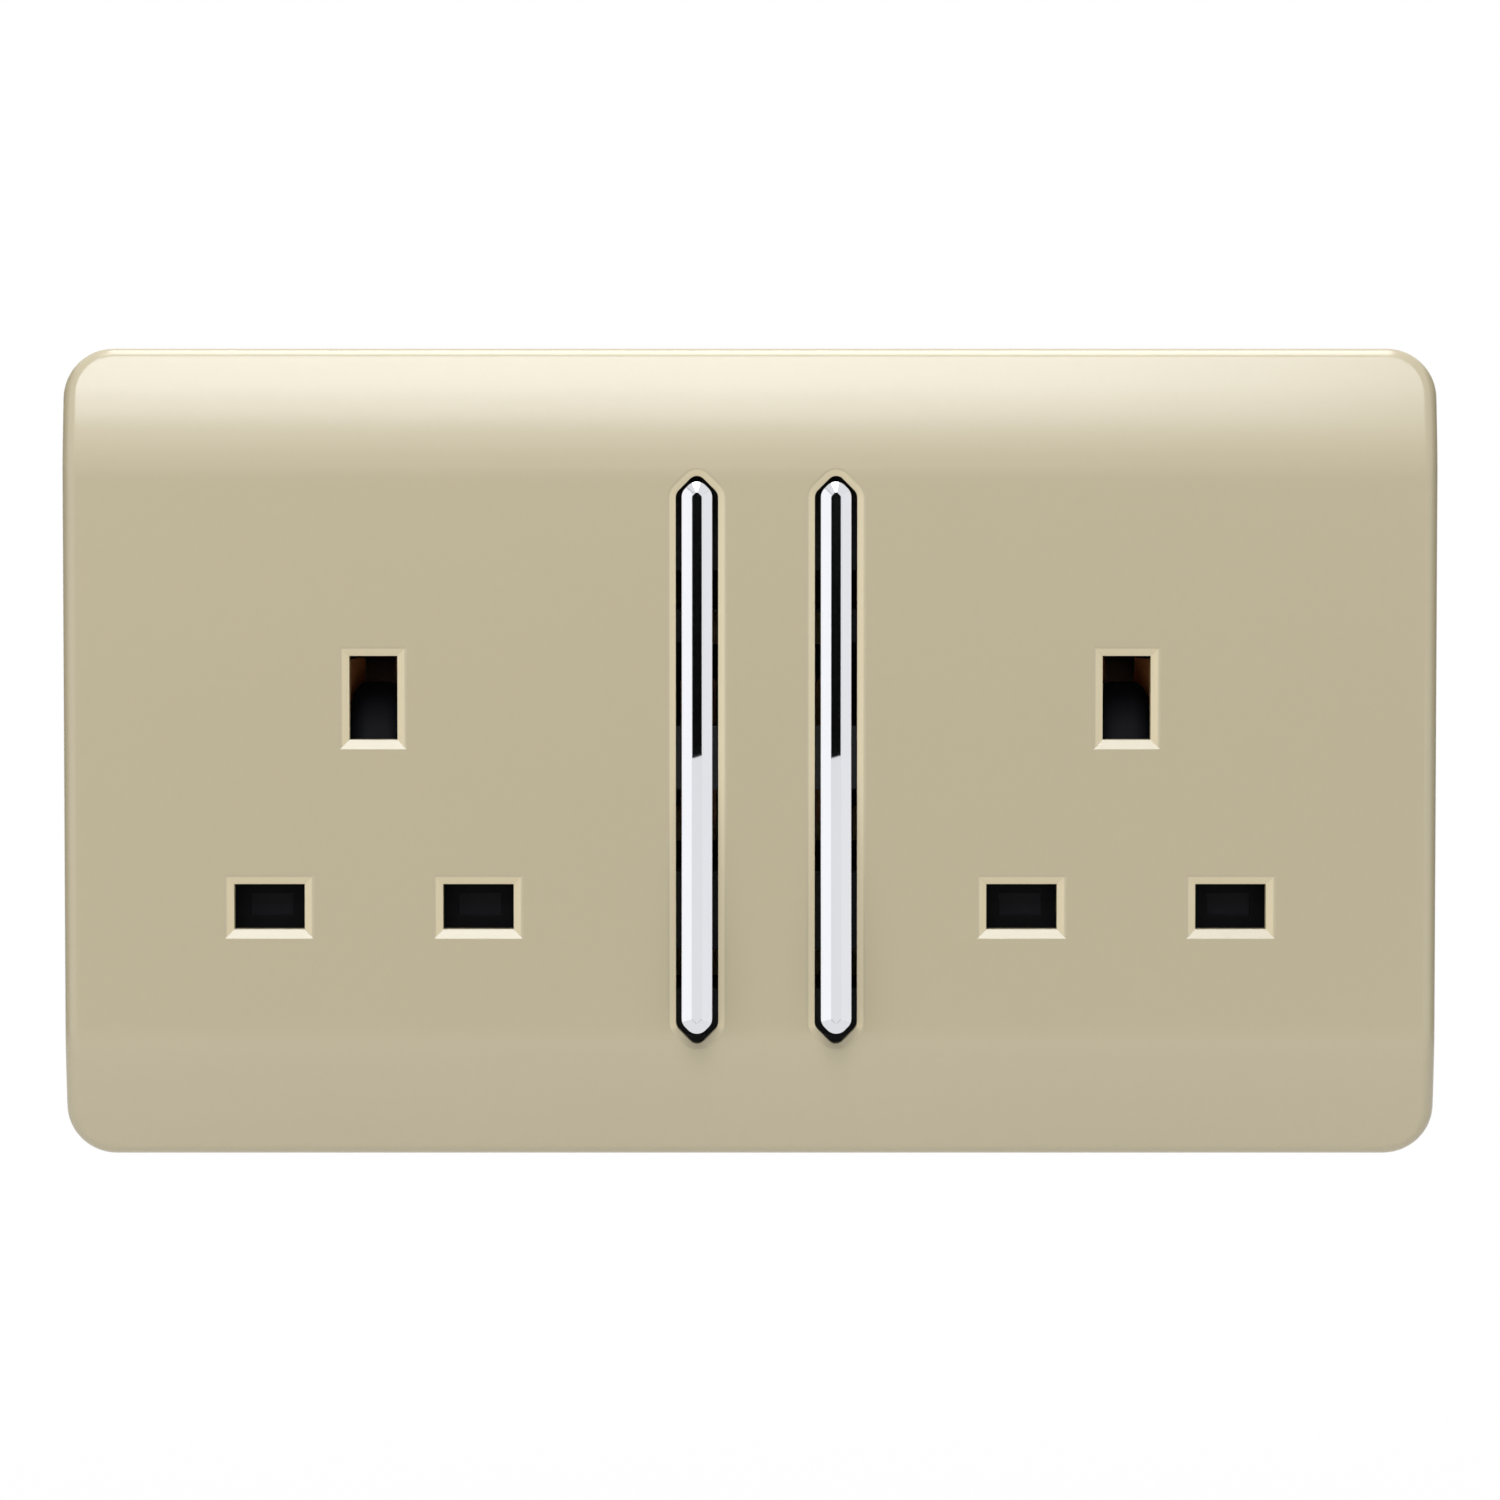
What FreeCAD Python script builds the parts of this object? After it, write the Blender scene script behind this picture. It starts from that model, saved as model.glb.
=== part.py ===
# A twin switched socket outlet for 13 A plugs with three rectangular pins. A clip-on front cover
# hides a moulded frame that is screwed to the wall box, and a rear housing behind the wall face
# holds the contacts. Two slim rockers stand side by side between the two sockets.
#
# X runs to the right, Z up and Y into the wall. The plane Y = 0 is the wall face, and the origin
# lies on it, midway between the two fixing holes. Depths are written as distances out from the
# wall, so a face that stands out by 10 mm lies at Y = -10 and a negative depth is inside the box.

import FreeCAD, Part
import math
import os
import Sketcher

Vector = FreeCAD.Vector

SIZES = [
    ("cover_width", 146.0, "front cover, left to right"),
    ("cover_height", 86.0, "front cover, bottom to top"),
    ("cover_depth", 10.0, "flat of the front cover, out from the wall"),
    ("edge_depth", 6.9, "top and bottom edges of the cover, out from the wall"),
    ("band_height", 12.25, "curved band above or below the flat of the cover"),
    ("band_radius", 61.0, "curve of the bands above and below the flat"),
    ("crease_radius", 20.0, "soft crease between the flat and a band"),
    ("corner_radius", 5.2, "corners of the cover, seen from the front"),
    ("edge_radius", 1.5, "rounded front edge of the cover"),
    ("cover_wall", 2.0, "wall of the cover"),
    ("frame_gap", 0.3, "gap between the cover and the frame inside it"),
    ("frame_wall", 1.8, "wall of the frame"),
    ("fixing_spacing", 120.6, "between the two fixing holes"),
    ("fixing_hole", 4.2, "fixing hole, for an M3.5 screw"),
    ("fixing_well", 8.6, "well for the head of a fixing screw"),
    ("fixing_seat", 2.6, "seat of a fixing screw's head, out from the wall"),
    ("fixing_boss", 11.6, "boss round a fixing screw"),
    ("socket_spacing", 80.0, "between the axes of the two sockets"),
    ("pin_spacing", 22.23, "between the live and neutral pins, and from them up to the earth pin"),
    ("earth_rise", 5.95, "earth aperture above the middle of the plate"),
    ("side_pin_width", 7.5, "live or neutral aperture, left to right"),
    ("side_pin_height", 4.8, "live or neutral aperture, bottom to top"),
    ("earth_pin_width", 5.1, "earth aperture, left to right"),
    ("earth_pin_height", 8.9, "earth aperture, bottom to top"),
    ("lead_in_width", 1.0, "sloping lead-in round an aperture, across"),
    ("lead_in_depth", 0.45, "sloping lead-in round an aperture, deep"),
    ("frame_relief", 0.3, "how much wider an opening is in the frame than in the cover"),
    ("switch_shift", 1.75, "middle of the pair of switches, right of the plate's middle"),
    ("switch_spacing", 14.76, "between the two switches"),
    ("switch_drop", 0.7, "middle of the switches below the middle of the plate"),
    ("slot_width", 4.5, "slot for a rocker"),
    ("slot_length", 60.4, "slot for a rocker"),
    ("slot_lip_width", 0.9, "sloping lip round a slot, across"),
    ("slot_lip_depth", 0.4, "sloping lip round a slot, deep"),
    ("slot_apex", 1.0, "rounded point of a slot"),
    ("slot_shoulder", 1.2, "rounded shoulder beside the point of a slot"),
    ("slot_relief", 0.5, "how much wider a rocker's slot is in the frame than in the cover"),
    ("rocker_width", 3.24, "chrome cap of a rocker"),
    ("rocker_length", 58.5, "chrome cap of a rocker"),
    ("rocker_proud", 0.3, "pressed half of a rocker above the flat of the cover"),
    ("rocker_skirt", 3.9, "depth of a cap from its face to its lower edge"),
    ("rocker_facet", 1.05, "flat facet along the middle of a cap"),
    ("facet_end", 0.2, "rounding of that facet's pointed ends"),
    ("rocker_bevel", 0.45, "fall of the bevels beside that facet"),
    ("rocker_crease", 26.0, "soft crease across the middle of a cap"),
    ("cap_wall", 0.45, "side wall of a cap"),
    ("cap_roof", 0.85, "roof of a cap over its carrier"),
    ("cap_end", 3.0, "solid end of a cap"),
    ("cap_fit", 0.05, "gap between a cap and its carrier"),
    ("carrier_height", 1.55, "arms of a carrier under the cap's roof"),
    ("half_throw", 3.0, "angle of a rocker each way from level, in degrees"),
    ("pivot_depth", 4.2, "pivot of a rocker, out from the wall"),
    ("trunnion_radius", 1.1, "pivot pin of a rocker"),
    ("bearing_fit", 0.05, "gap round a pivot pin"),
    ("cheek_width", 1.8, "cheek of the frame that holds a pivot pin"),
    ("cheek_half_height", 3.2, "cheek of the frame, each way from the pivot"),
    ("cheek_depth", 2.0, "lower edge of a cheek behind the pivot"),
    ("trunnion_play", 0.2, "gap at each end of a pivot pin"),
    ("stem_width", 5.0, "stem of a rocker between the cheeks"),
    ("stem_height", 6.8, "stem of a rocker, bottom to top"),
    ("stem_corner", 0.6, "corners of the stem"),
    ("stem_reach", 8.2, "end of the stem behind the pivot"),
    ("plunger_radius", 1.22, "plunger in the stem's bore"),
    ("plunger_fit", 0.08, "gap round a plunger"),
    ("plunger_reach", 12.05, "tip of the plunger behind the pivot"),
    ("plunger_length", 6.2, "plunger from its tip to the spring seat"),
    ("plunger_spigot", 1.0, "spigot of the plunger inside its spring"),
    ("plunger_spigot_radius", 0.55, "spigot of the plunger inside its spring"),
    ("bore_top", 1.4, "blind end of the bore behind the pivot"),
    ("lever_gap", 0.1, "least gap between a plunger and its lever, and under the lever"),
    ("lever_width", 4.0, "contact lever"),
    ("lever_half_length", 8.2, "contact lever, each way from its pivot"),
    ("lever_thickness", 0.8, "contact lever"),
    ("lever_ratio", 2.0, "tilt of the lever for each degree of the rocker"),
    ("button_radius", 1.1, "silver contact"),
    ("button_height", 0.4, "silver contact"),
    ("button_offset", 7.0, "silver contact above the lever's pivot"),
    ("contact_gap", 0.2, "gap that is left between closed contacts"),
    ("shutter_thickness", 2.6, "shutter"),
    ("slide_gap", 0.1, "gap on each side of a sliding shutter"),
    ("shutter_overlap", 0.5, "how far a shutter covers past an aperture"),
    ("shutter_travel", 5.8, "how far a shutter slides down"),
    ("shutter_stem_width", 12.0, "stem of a shutter"),
    ("ramp_width", 5.9, "ramp behind the earth aperture"),
    ("ramp_depth", 5.2, "how far the ramp runs inwards"),
    ("ramp_edge", 1.9, "rounded long edges of the ramp"),
    ("ramp_room", 0.6, "gap round the ramp in the rear housing"),
    ("mark_width", 4.6, "hollow in a shutter behind an aperture, left to right"),
    ("mark_height", 2.4, "hollow in a shutter behind an aperture, bottom to top"),
    ("mark_depth", 0.4, "hollow in a shutter behind an aperture, deep"),
    ("rail_width", 1.4, "rail beside the bar of a shutter"),
    ("stem_rail_width", 1.2, "rail beside the stem of a shutter"),
    ("rail_gap", 0.15, "gap between a shutter and a rail beside it"),
    ("stiffener_offset", 11.0, "stiffener of the frame, beside a switch"),
    ("stiffener_width", 1.2, "stiffener of the frame"),
    ("stiffener_height", 58.0, "stiffener of the frame, bottom to top"),
    ("shutter_peg", 0.75, "radius of the peg in a shutter's spring"),
    ("peg_length", 1.8, "peg in a shutter's spring"),
    ("spring_wire", 0.32, "wire of a spring"),
    ("spring_turns", 5.0, "turns of a spring"),
    ("spring_fit", 0.15, "gap between a spring and the peg inside it"),
    ("spring_seat_inset", 0.17, "seat of a shutter spring in from the edge of the flat"),
    ("housing_end_wall", 1.785, "end wall of the rear housing beside the outer chambers"),
    ("housing_depth", 20.5, "back of the rear housing behind the wall face"),
    ("housing_corner", 2.5, "corners of the rear housing"),
    ("housing_bevel", 0.8, "bevel round the back of the rear housing"),
    ("lug_notch_depth", 2.8, "notch that clears a fixing lug, in from the side"),
    ("lug_notch_height", 16.0, "notch that clears a fixing lug"),
    ("chamber_width", 8.2, "chamber round the grip of a live or neutral pin, left to right"),
    ("chamber_height", 7.8, "chamber round the grip of a live or neutral pin, bottom to top"),
    ("earth_chamber_width", 8.0, "chamber round the grip of an earth pin, left to right"),
    ("earth_chamber_height", 9.1, "chamber round the grip of an earth pin, bottom to top"),
    ("switch_room_width", 9.8, "chamber of a switch, left to right"),
    ("switch_room_height", 24.6, "chamber of a switch, bottom to top"),
    ("core_inset", 0.6, "how much smaller a core in the back is than the chamber before it"),
    ("core_floor", 1.8, "floor between a chamber and the core behind it"),
    ("strip_thickness", 0.8, "brass strip of the conductors"),
    ("strip_width", 3.8, "run of a conductor"),
    ("strip_depth", 11.0, "front of the live and neutral strips behind the wall face"),
    ("earth_strip_depth", 14.0, "front of the earth strip behind the wall face"),
    ("strip_room", 0.2, "gap round a strip in its channel"),
    ("floor_gap", 0.05, "gap under a seated conductor"),
    ("crossing_drop", 8.0, "run of a switched live strip below the switches' middle"),
    ("line_rise", 13.5, "run of the incoming live strip above the switches' middle"),
    ("neutral_run_drop", 7.22, "run of the neutral strip below the live and neutral pins"),
    ("earth_run_drop", 7.3, "run of the earth strip below its terminals"),
    ("tab_width", 3.0, "tab that carries a fixed silver contact"),
    ("earth_tab_width", 6.0, "tab from the earth strip to a grip or a terminal"),
    ("saddle_height", 1.2, "saddle that a lever rocks on, bottom to top"),
    ("saddle_margin", 1.9, "strip past the saddle"),
    ("grip_width", 6.4, "grip of a live or neutral pin, left to right"),
    ("grip_thickness", 0.7, "leaf of a grip"),
    ("grip_margin", 0.7, "seat of a grip past the height of its aperture"),
    ("grip_root", 2.3, "leaf of a grip from the pin's middle, at its root"),
    ("grip_pinch", 1.6, "leaf of a grip from the pin's middle, where it pinches"),
    ("grip_mouth", 2.6, "leaf of a grip from the pin's middle, at its flared mouth"),
    ("earth_grip_height", 7.5, "grip of an earth pin, bottom to top"),
    ("terminal_width", 7.0, "terminal block, left to right"),
    ("terminal_height", 8.0, "terminal block, bottom to top"),
    ("terminal_depth", 7.0, "terminal block, front to back"),
    ("terminal_inset", 6.5, "middle of a terminal from the edge of the rear housing"),
    ("terminal_spacing", 20.0, "earth terminal from the middle of the plate"),
    ("wire_hole", 4.0, "hole for the conductors in a terminal"),
    ("wire_entry", 4.8, "entry for the conductors in the rear housing"),
    ("bed_gap", 0.2, "gap round a terminal block in its bed"),
    ("terminal_screw", 3.2, "shank of a terminal screw"),
    ("terminal_head", 4.8, "head of a terminal screw"),
    ("screw_head_height", 1.4, "head of a terminal screw"),
    ("assembly_side_inset", 7.0, "assembly screw in from the side of the rear housing"),
    ("assembly_drop", 4.7, "assembly screw below the run of the neutral strip"),
    ("assembly_end_inset", 2.8, "assembly screw in from the top or bottom of the rear housing"),
    ("assembly_screw", 2.4, "shank of an assembly screw"),
    ("assembly_head", 4.4, "head of an assembly screw"),
    ("assembly_recess", 2.0, "recess for the head of an assembly screw"),
    ("assembly_boss", 5.4, "boss of the frame for an assembly screw"),
    ("screw_room", 0.3, "gap round the head of a screw"),
    ("screw_slot", 0.8, "slot across the head of a screw"),
    ("hook_spacing", 70.0, "between the cover's clip hooks, left to right"),
    ("hook_width", 8.0, "clip hook"),
    ("hook_reach", 0.9, "nose of a clip hook"),
    ("hook_top", 2.4, "upper edge of a clip hook, out from the wall"),
    ("hook_foot", 0.3, "lower end of a clip hook, out from the wall"),
    ("hook_nose", 0.6, "tip of a clip hook below its upper edge"),
    ("notch_gap", 0.3, "gap round a clip hook in the frame's notch"),
    ("pry_width", 12.0, "slot for a screwdriver under the cover"),
    ("pry_height", 1.4, "slot for a screwdriver under the cover, out from the wall"),
]

document = FreeCAD.newDocument("TwinSocket")
sheet = document.addObject("Spreadsheet::Sheet", "Sizes")


class Size:
    """A length or angle: its value now, and the formula that ties it to the sheet."""

    def __init__(self, value, formula):
        self.value = value
        self.formula = formula

    def __add__(self, other):
        other = as_size(other)
        return Size(self.value + other.value, f"({self.formula} + {other.formula})")

    def __radd__(self, other):
        return as_size(other) + self

    def __sub__(self, other):
        other = as_size(other)
        return Size(self.value - other.value, f"({self.formula} - {other.formula})")

    def __rsub__(self, other):
        return as_size(other) - self

    def __mul__(self, factor):
        factor = as_size(factor)
        return Size(self.value * factor.value, f"({self.formula} * {factor.formula})")

    def __rmul__(self, factor):
        return as_size(factor) * self

    def __truediv__(self, divisor):
        divisor = as_size(divisor)
        return Size(self.value / divisor.value, f"({self.formula} / {divisor.formula})")

    def __neg__(self):
        return Size(-self.value, f"(-{self.formula})")


def as_size(number):
    """A plain number as a Size, so that the two can be mixed."""
    if isinstance(number, Size):
        return number
    return Size(float(number), repr(float(number)))


def tangent(angle):
    """The tangent of an angle in degrees."""
    return Size(math.tan(math.radians(angle.value)), f"tan({angle.formula} * 1 deg)")


size = {}
for row, (name, value, meaning) in enumerate(SIZES, start=1):
    sheet.set(f"A{row}", meaning)
    sheet.set(f"B{row}", str(value))
    sheet.setAlias(f"B{row}", name)
    size[name] = Size(value, f"Sizes.{name}")
document.recompute()


# Outlines
# An outline is a closed loop of points, anticlockwise. A point is (x, y), or (x, y, radius) where
# the side that leaves it is an arc that bulges outwards. A loop of one point is a circle.


def rectangle(left, right, bottom, top):
    """A rectangle between two uprights and two levels."""
    return [(left, bottom), (right, bottom), (right, top), (left, top)]


def centred(x, z, width, height, radius=None):
    """A rectangle about a centre, with rounded corners where a radius is given."""
    left, right = x - width / 2, x + width / 2
    bottom, top = z - height / 2, z + height / 2
    if radius is None:
        return rectangle(left, right, bottom, top)
    return [
        (left + radius, bottom),
        (right - radius, bottom, radius),
        (right, bottom + radius),
        (right, top - radius, radius),
        (right - radius, top),
        (left + radius, top, radius),
        (left, top - radius),
        (left, bottom + radius, radius),
    ]


def circle(x, z, radius):
    """A circle about a centre."""
    return [(x, z, radius)]


def arched(x, z, width, length, apex, shoulder):
    """An upright slot whose two ends are blunt points at a right angle, with everything rounded."""
    half_width, half_length = width / 2, length / 2
    diagonal = math.sqrt(0.5)
    flank_x, flank_z = apex * diagonal, half_length - apex * (1 - diagonal)
    corner_z = flank_z - (half_width - flank_x)
    straight = corner_z - shoulder * (math.sqrt(2) - 1)
    round_x, round_z = half_width - shoulder * (1 - diagonal), corner_z + shoulder * (1 - diagonal)
    upper = [
        (half_width, straight, shoulder),
        (round_x, round_z),
        (flank_x, flank_z, apex),
        (-flank_x, flank_z),
        (-round_x, round_z, shoulder),
        (-half_width, straight),
    ]
    lower = [(-point[0], -point[1]) + point[2:] for point in upper]
    return [(x + point[0], z + point[1]) + point[2:] for point in upper + lower]


def side(start, end):
    """The line or arc from one point of a loop to the next."""
    first = Vector(start[0].value, start[1].value, 0)
    last = Vector(end[0].value, end[1].value, 0)
    if len(start) == 2:
        return Part.LineSegment(first, last)
    radius = start[2].value
    chord = last - first
    inwards = Vector(-chord.y, chord.x, 0).normalize()
    centre = (first + last) * 0.5 + inwards * math.sqrt(radius**2 - (chord.Length / 2) ** 2)
    start_angle = math.atan2(first.y - centre.y, first.x - centre.x)
    end_angle = math.atan2(last.y - centre.y, last.x - centre.x)
    return Part.ArcOfCircle(Part.Circle(centre, Vector(0, 0, 1), radius), start_angle, end_angle)


def tie(sketch, kind, geometry, value):
    """Hold a radius, or a point's distance from the origin, at a formula of the sheet."""
    if kind == "Radius":
        constraint = Sketcher.Constraint(kind, geometry, value.value)
    else:
        point = 3 if isinstance(sketch.Geometry[geometry], Part.Circle) else 1
        constraint = Sketcher.Constraint(kind, -1, 1, geometry, point, value.value)
    number = sketch.addConstraint(constraint)
    sketch.setExpression(f"Constraints[{number}]", value.formula)


def draw(sketch, loop):
    """Draw one loop and tie each of its points and radii to the sheet."""
    loop = [tuple(as_size(value) for value in point) for point in loop]
    first, count = sketch.GeometryCount, len(loop)
    if count == 1:
        x, y, radius = loop[0]
        outline = Part.Circle(Vector(x.value, y.value, 0), Vector(0, 0, 1), radius.value)
        sketch.addGeometry(outline, False)
    else:
        for number, start in enumerate(loop):
            sketch.addGeometry(side(start, loop[(number + 1) % count]), False)
        for number in range(count):
            following = first + (number + 1) % count
            sketch.addConstraint(
                Sketcher.Constraint("Coincident", first + number, 2, following, 1)
            )
    for number, point in enumerate(loop):
        tie(sketch, "DistanceX", first + number, point[0])
        tie(sketch, "DistanceY", first + number, point[1])
        if len(point) == 3:
            tie(sketch, "Radius", first + number, point[2])


# Pieces

pieces = []


class Piece:
    """One separate piece of the object, built feature by feature on its own planes.

    A sketch on "front" is seen from the front and its place is a depth out from the wall. One on
    "side" is seen from the left, with depths as -out, and its place is an x. One on "top" is seen
    from above, and its place is a z.
    """

    planes = {"front": "XZ_Plane", "side": "YZ_Plane", "top": "XY_Plane"}

    def __init__(self, name):
        self.name = name
        self.body = document.addObject("PartDesign::Body", name)
        self.body.Label = name
        self.volume = 0.0
        pieces.append(self.body)

    def sketch(self, plane, place, loops):
        """A sketch of the loops on one of the piece's planes, moved along that plane's normal."""
        drawing = self.body.newObject("Sketcher::SketchObject", f"{self.name}_sketch")
        role = self.planes[plane]
        support = next(item for item in self.body.Origin.OriginFeatures if item.Role == role)
        drawing.AttachmentSupport = (support, [""])
        drawing.MapMode = "FlatFace"
        drawing.setExpression("AttachmentOffset.Base.z", as_size(place).formula)
        for loop in loops:
            draw(drawing, loop)
        return drawing

    def finish(self, feature, grows):
        """Work the feature out, and stop if it failed or did nothing."""
        self.body.Tip = feature
        document.recompute()
        if "Invalid" in feature.State or feature.Shape.isNull():
            raise RuntimeError(f"{feature.Label} of {self.name} failed")
        change = feature.Shape.Volume - self.volume
        if abs(change) < 1e-6 or (change > 0) != grows:
            raise RuntimeError(f"{feature.Label} of {self.name} changed the volume by {change}")
        self.volume = feature.Shape.Volume
        return feature

    def pad(self, plane, place, loops, length, both_ways=False):
        """Grow the loops along the plane's normal: from the front plane, towards the viewer."""
        feature = self.body.newObject("PartDesign::Pad", f"{self.name}_pad")
        return self.extrude(feature, self.sketch(plane, place, loops), length, both_ways, True)

    def pocket(self, plane, place, loops, length, both_ways=False):
        """Cut the loops against the plane's normal: from the front plane, into the wall."""
        feature = self.body.newObject("PartDesign::Pocket", f"{self.name}_pocket")
        return self.extrude(feature, self.sketch(plane, place, loops), length, both_ways, False)

    def extrude(self, feature, drawing, length, both_ways, grows):
        """Give a pad or a pocket its sketch and its length."""
        feature.Profile = drawing
        feature.setExpression("Length", as_size(length).formula)
        feature.SideType = "Symmetric" if both_ways else "One side"
        return self.finish(feature, grows)

    def taper_cut(self, plane, place, loop, end_place, end_loop):
        """Cut between two outlines on parallel planes."""
        first = self.sketch(plane, place, [loop])
        last = self.sketch(plane, end_place, [end_loop])
        feature = self.body.newObject("PartDesign::SubtractiveLoft", f"{self.name}_taper")
        feature.Profile = first
        feature.Sections = [last]
        feature.Ruled = True
        return self.finish(feature, False)

    def turn(self, loop, groove=False):
        """Turn an outline of (radius, y) points about the piece's own Y axis."""
        kind = "Groove" if groove else "Revolution"
        feature = self.body.newObject(f"PartDesign::{kind}", f"{self.name}_turned")
        drawing = self.sketch("top", 0, [loop])
        feature.Profile = drawing
        feature.ReferenceAxis = (drawing, ["V_Axis"])
        feature.Angle = 360
        return self.finish(feature, not groove)

    def edges(self, wanted):
        """The names of the edges that a test picks."""
        shape = self.body.Tip.Shape
        return [f"Edge{number}" for number, edge in enumerate(shape.Edges, 1) if wanted(edge)]

    def fillet(self, radius, wanted):
        """Round the picked edges."""
        names = self.edges(wanted)
        base = self.body.Tip
        feature = self.body.newObject("PartDesign::Fillet", f"{self.name}_fillet")
        feature.Base = (base, names)
        feature.setExpression("Radius", as_size(radius).formula)
        return self.dress(feature)

    def chamfer(self, across, deep, wanted, flipped=False):
        """Bevel the picked edges: across the face and down the wall, or the other way round."""
        names = self.edges(wanted)
        base = self.body.Tip
        feature = self.body.newObject("PartDesign::Chamfer", f"{self.name}_chamfer")
        feature.Base = (base, names)
        feature.ChamferType = "Two distances"
        feature.FlipDirection = flipped
        feature.setExpression("Size", as_size(across).formula)
        feature.setExpression("Size2", as_size(deep).formula)
        return self.dress(feature)

    def dress(self, feature):
        """Work a fillet or a bevel out, and stop if it failed."""
        self.body.Tip = feature
        document.recompute()
        if "Invalid" in feature.State or feature.Shape.isNull():
            raise RuntimeError(f"{feature.Label} of {self.name} failed")
        self.volume = feature.Shape.Volume
        return feature

    def place(self, x, out, z, tilt=None):
        """Put the finished piece where it belongs, tilted about X where a tilt is given."""
        self.body.setExpression("Placement.Base.x", as_size(x).formula)
        self.body.setExpression("Placement.Base.y", (-as_size(out)).formula)
        self.body.setExpression("Placement.Base.z", as_size(z).formula)
        if tilt is not None:
            self.body.Placement.Rotation = FreeCAD.Rotation(Vector(1, 0, 0), 1)
            self.body.setExpression("Placement.Rotation.Angle", f"{tilt.formula} * 1 deg")
        document.recompute()


def runs_along(edge, axis):
    """Whether a straight edge is parallel to an axis."""
    if not isinstance(edge.Curve, Part.Line):
        return False
    return abs(edge.tangentAt(edge.FirstParameter) * axis) > 0.9999


def near(value, wanted):
    """Whether two lengths agree."""
    return abs(value - wanted) < 0.01


X_AXIS, Y_AXIS, Z_AXIS = Vector(1, 0, 0), Vector(0, 1, 0), Vector(0, 0, 1)


# Places that several pieces share

OVERRUN = 1.0  # how far a cut runs past the face it opens
SUNK = 0.4  # how far a rib is sunk into the wall it grows from

half_width = size["cover_width"] / 2
half_height = size["cover_height"] / 2
flat_edge = half_height - size["band_height"]
live_level = size["earth_rise"] - size["pin_spacing"]
side_pin = size["pin_spacing"] / 2
sockets = {"left": -size["socket_spacing"] / 2, "right": size["socket_spacing"] / 2}
switches = {
    "left": size["switch_shift"] - size["switch_spacing"] / 2,
    "right": size["switch_shift"] + size["switch_spacing"] / 2,
}
switch_level = -size["switch_drop"]
frame_inset = size["cover_wall"] + size["frame_gap"]
frame_front = size["cover_depth"] - frame_inset
frame_inside = frame_front - size["frame_wall"]
shutter_front = frame_inside - size["slide_gap"]
shutter_back = shutter_front - size["shutter_thickness"]
deck = shutter_back - size["slide_gap"]
cheek_side = size["slot_width"] / 2 + size["slot_relief"]
housing_back = -size["housing_depth"]
strip_front = -size["strip_depth"]
strip_back = strip_front - size["strip_thickness"]
chamber_floor = strip_back - size["floor_gap"]
earth_strip_front = -size["earth_strip_depth"]
earth_strip_back = earth_strip_front - size["strip_thickness"]
earth_floor = earth_strip_back - size["floor_gap"]
shutter_top = live_level + size["side_pin_height"] / 2 + size["shutter_overlap"]
shutter_foot = live_level - size["side_pin_height"] / 2 - size["shutter_overlap"]
shutter_half_width = side_pin + size["side_pin_width"] / 2 + size["shutter_overlap"]
spring_floor = size["spring_seat_inset"] - flat_edge
spring_room = shutter_foot - spring_floor
ramp_foot = size["earth_rise"] - size["earth_pin_height"] / 2 - size["shutter_overlap"] * 2
ramp_top = ramp_foot + size["shutter_travel"] + size["shutter_overlap"] * 2
fixings = [-size["fixing_spacing"] / 2, size["fixing_spacing"] / 2]
end_chamber = size["socket_spacing"] / 2 + side_pin + size["chamber_width"] / 2
housing_half_width = end_chamber + size["housing_end_wall"]
assembly_x = housing_half_width - size["assembly_side_inset"]
neutral_level = live_level - size["neutral_run_drop"]
assembly_z = size["assembly_drop"] - neutral_level
housing_half_height = assembly_z + size["assembly_end_inset"]
terminal_level = housing_half_height - size["terminal_inset"]
assembly_points = [(across * assembly_x, up * assembly_z) for across in (-1, 1) for up in (-1, 1)]
hooks = [-size["hook_spacing"] / 2, size["hook_spacing"] / 2]
pins = [
    (x + offset, live_level) for x in sockets.values() for offset in (-side_pin, side_pin)
]


def beside(x, across, start, width):
    """The two uprights of a wall that stands at a distance to one side of a place."""
    near_edge = x + across * start
    far_edge = near_edge + across * width
    return (near_edge, far_edge) if across > 0 else (far_edge, near_edge)


def plate_section(inset=0):
    """The cover's section, seen from the side and drawn in by an inset: a flat front and two
    curved bands that fall back to the top and bottom edges."""
    inset = as_size(inset)
    slope = (size["cover_depth"] - size["edge_depth"]) / size["band_height"]
    front = size["cover_depth"] - inset
    edge = size["edge_depth"] - inset * (1 - slope)
    crease = flat_edge - inset * slope / 2
    top = half_height - inset
    radius = size["band_radius"] - inset
    return [
        (-edge, -top),
        (0, -top),
        (0, top),
        (-edge, top, radius),
        (-front, crease),
        (-front, -crease, radius),
    ]


def apertures(relief=0):
    """The six pin apertures, wider by a relief on every side."""
    wider = as_size(relief) * 2
    across, up = size["side_pin_width"] + wider, size["side_pin_height"] + wider
    loops = [centred(x, z, across, up) for x, z in pins]
    across, up = size["earth_pin_width"] + wider, size["earth_pin_height"] + wider
    loops += [centred(x, size["earth_rise"], across, up) for x in sockets.values()]
    return loops


def rocker_slot(x, wider=0):
    """The slot of one rocker, wider by an amount on every side."""
    wider = as_size(wider)
    return arched(
        x,
        switch_level,
        size["slot_width"] + wider * 2,
        size["slot_length"] + wider * 2,
        size["slot_apex"] + wider,
        size["slot_shoulder"] + wider,
    )


# Front cover
# One glossy moulding with a flat front, bands that fall away above and below it, and a rounded
# edge. Hooks inside its long walls snap under the frame, and a slot under the lower edge takes a
# screwdriver to lift it off.


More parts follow.
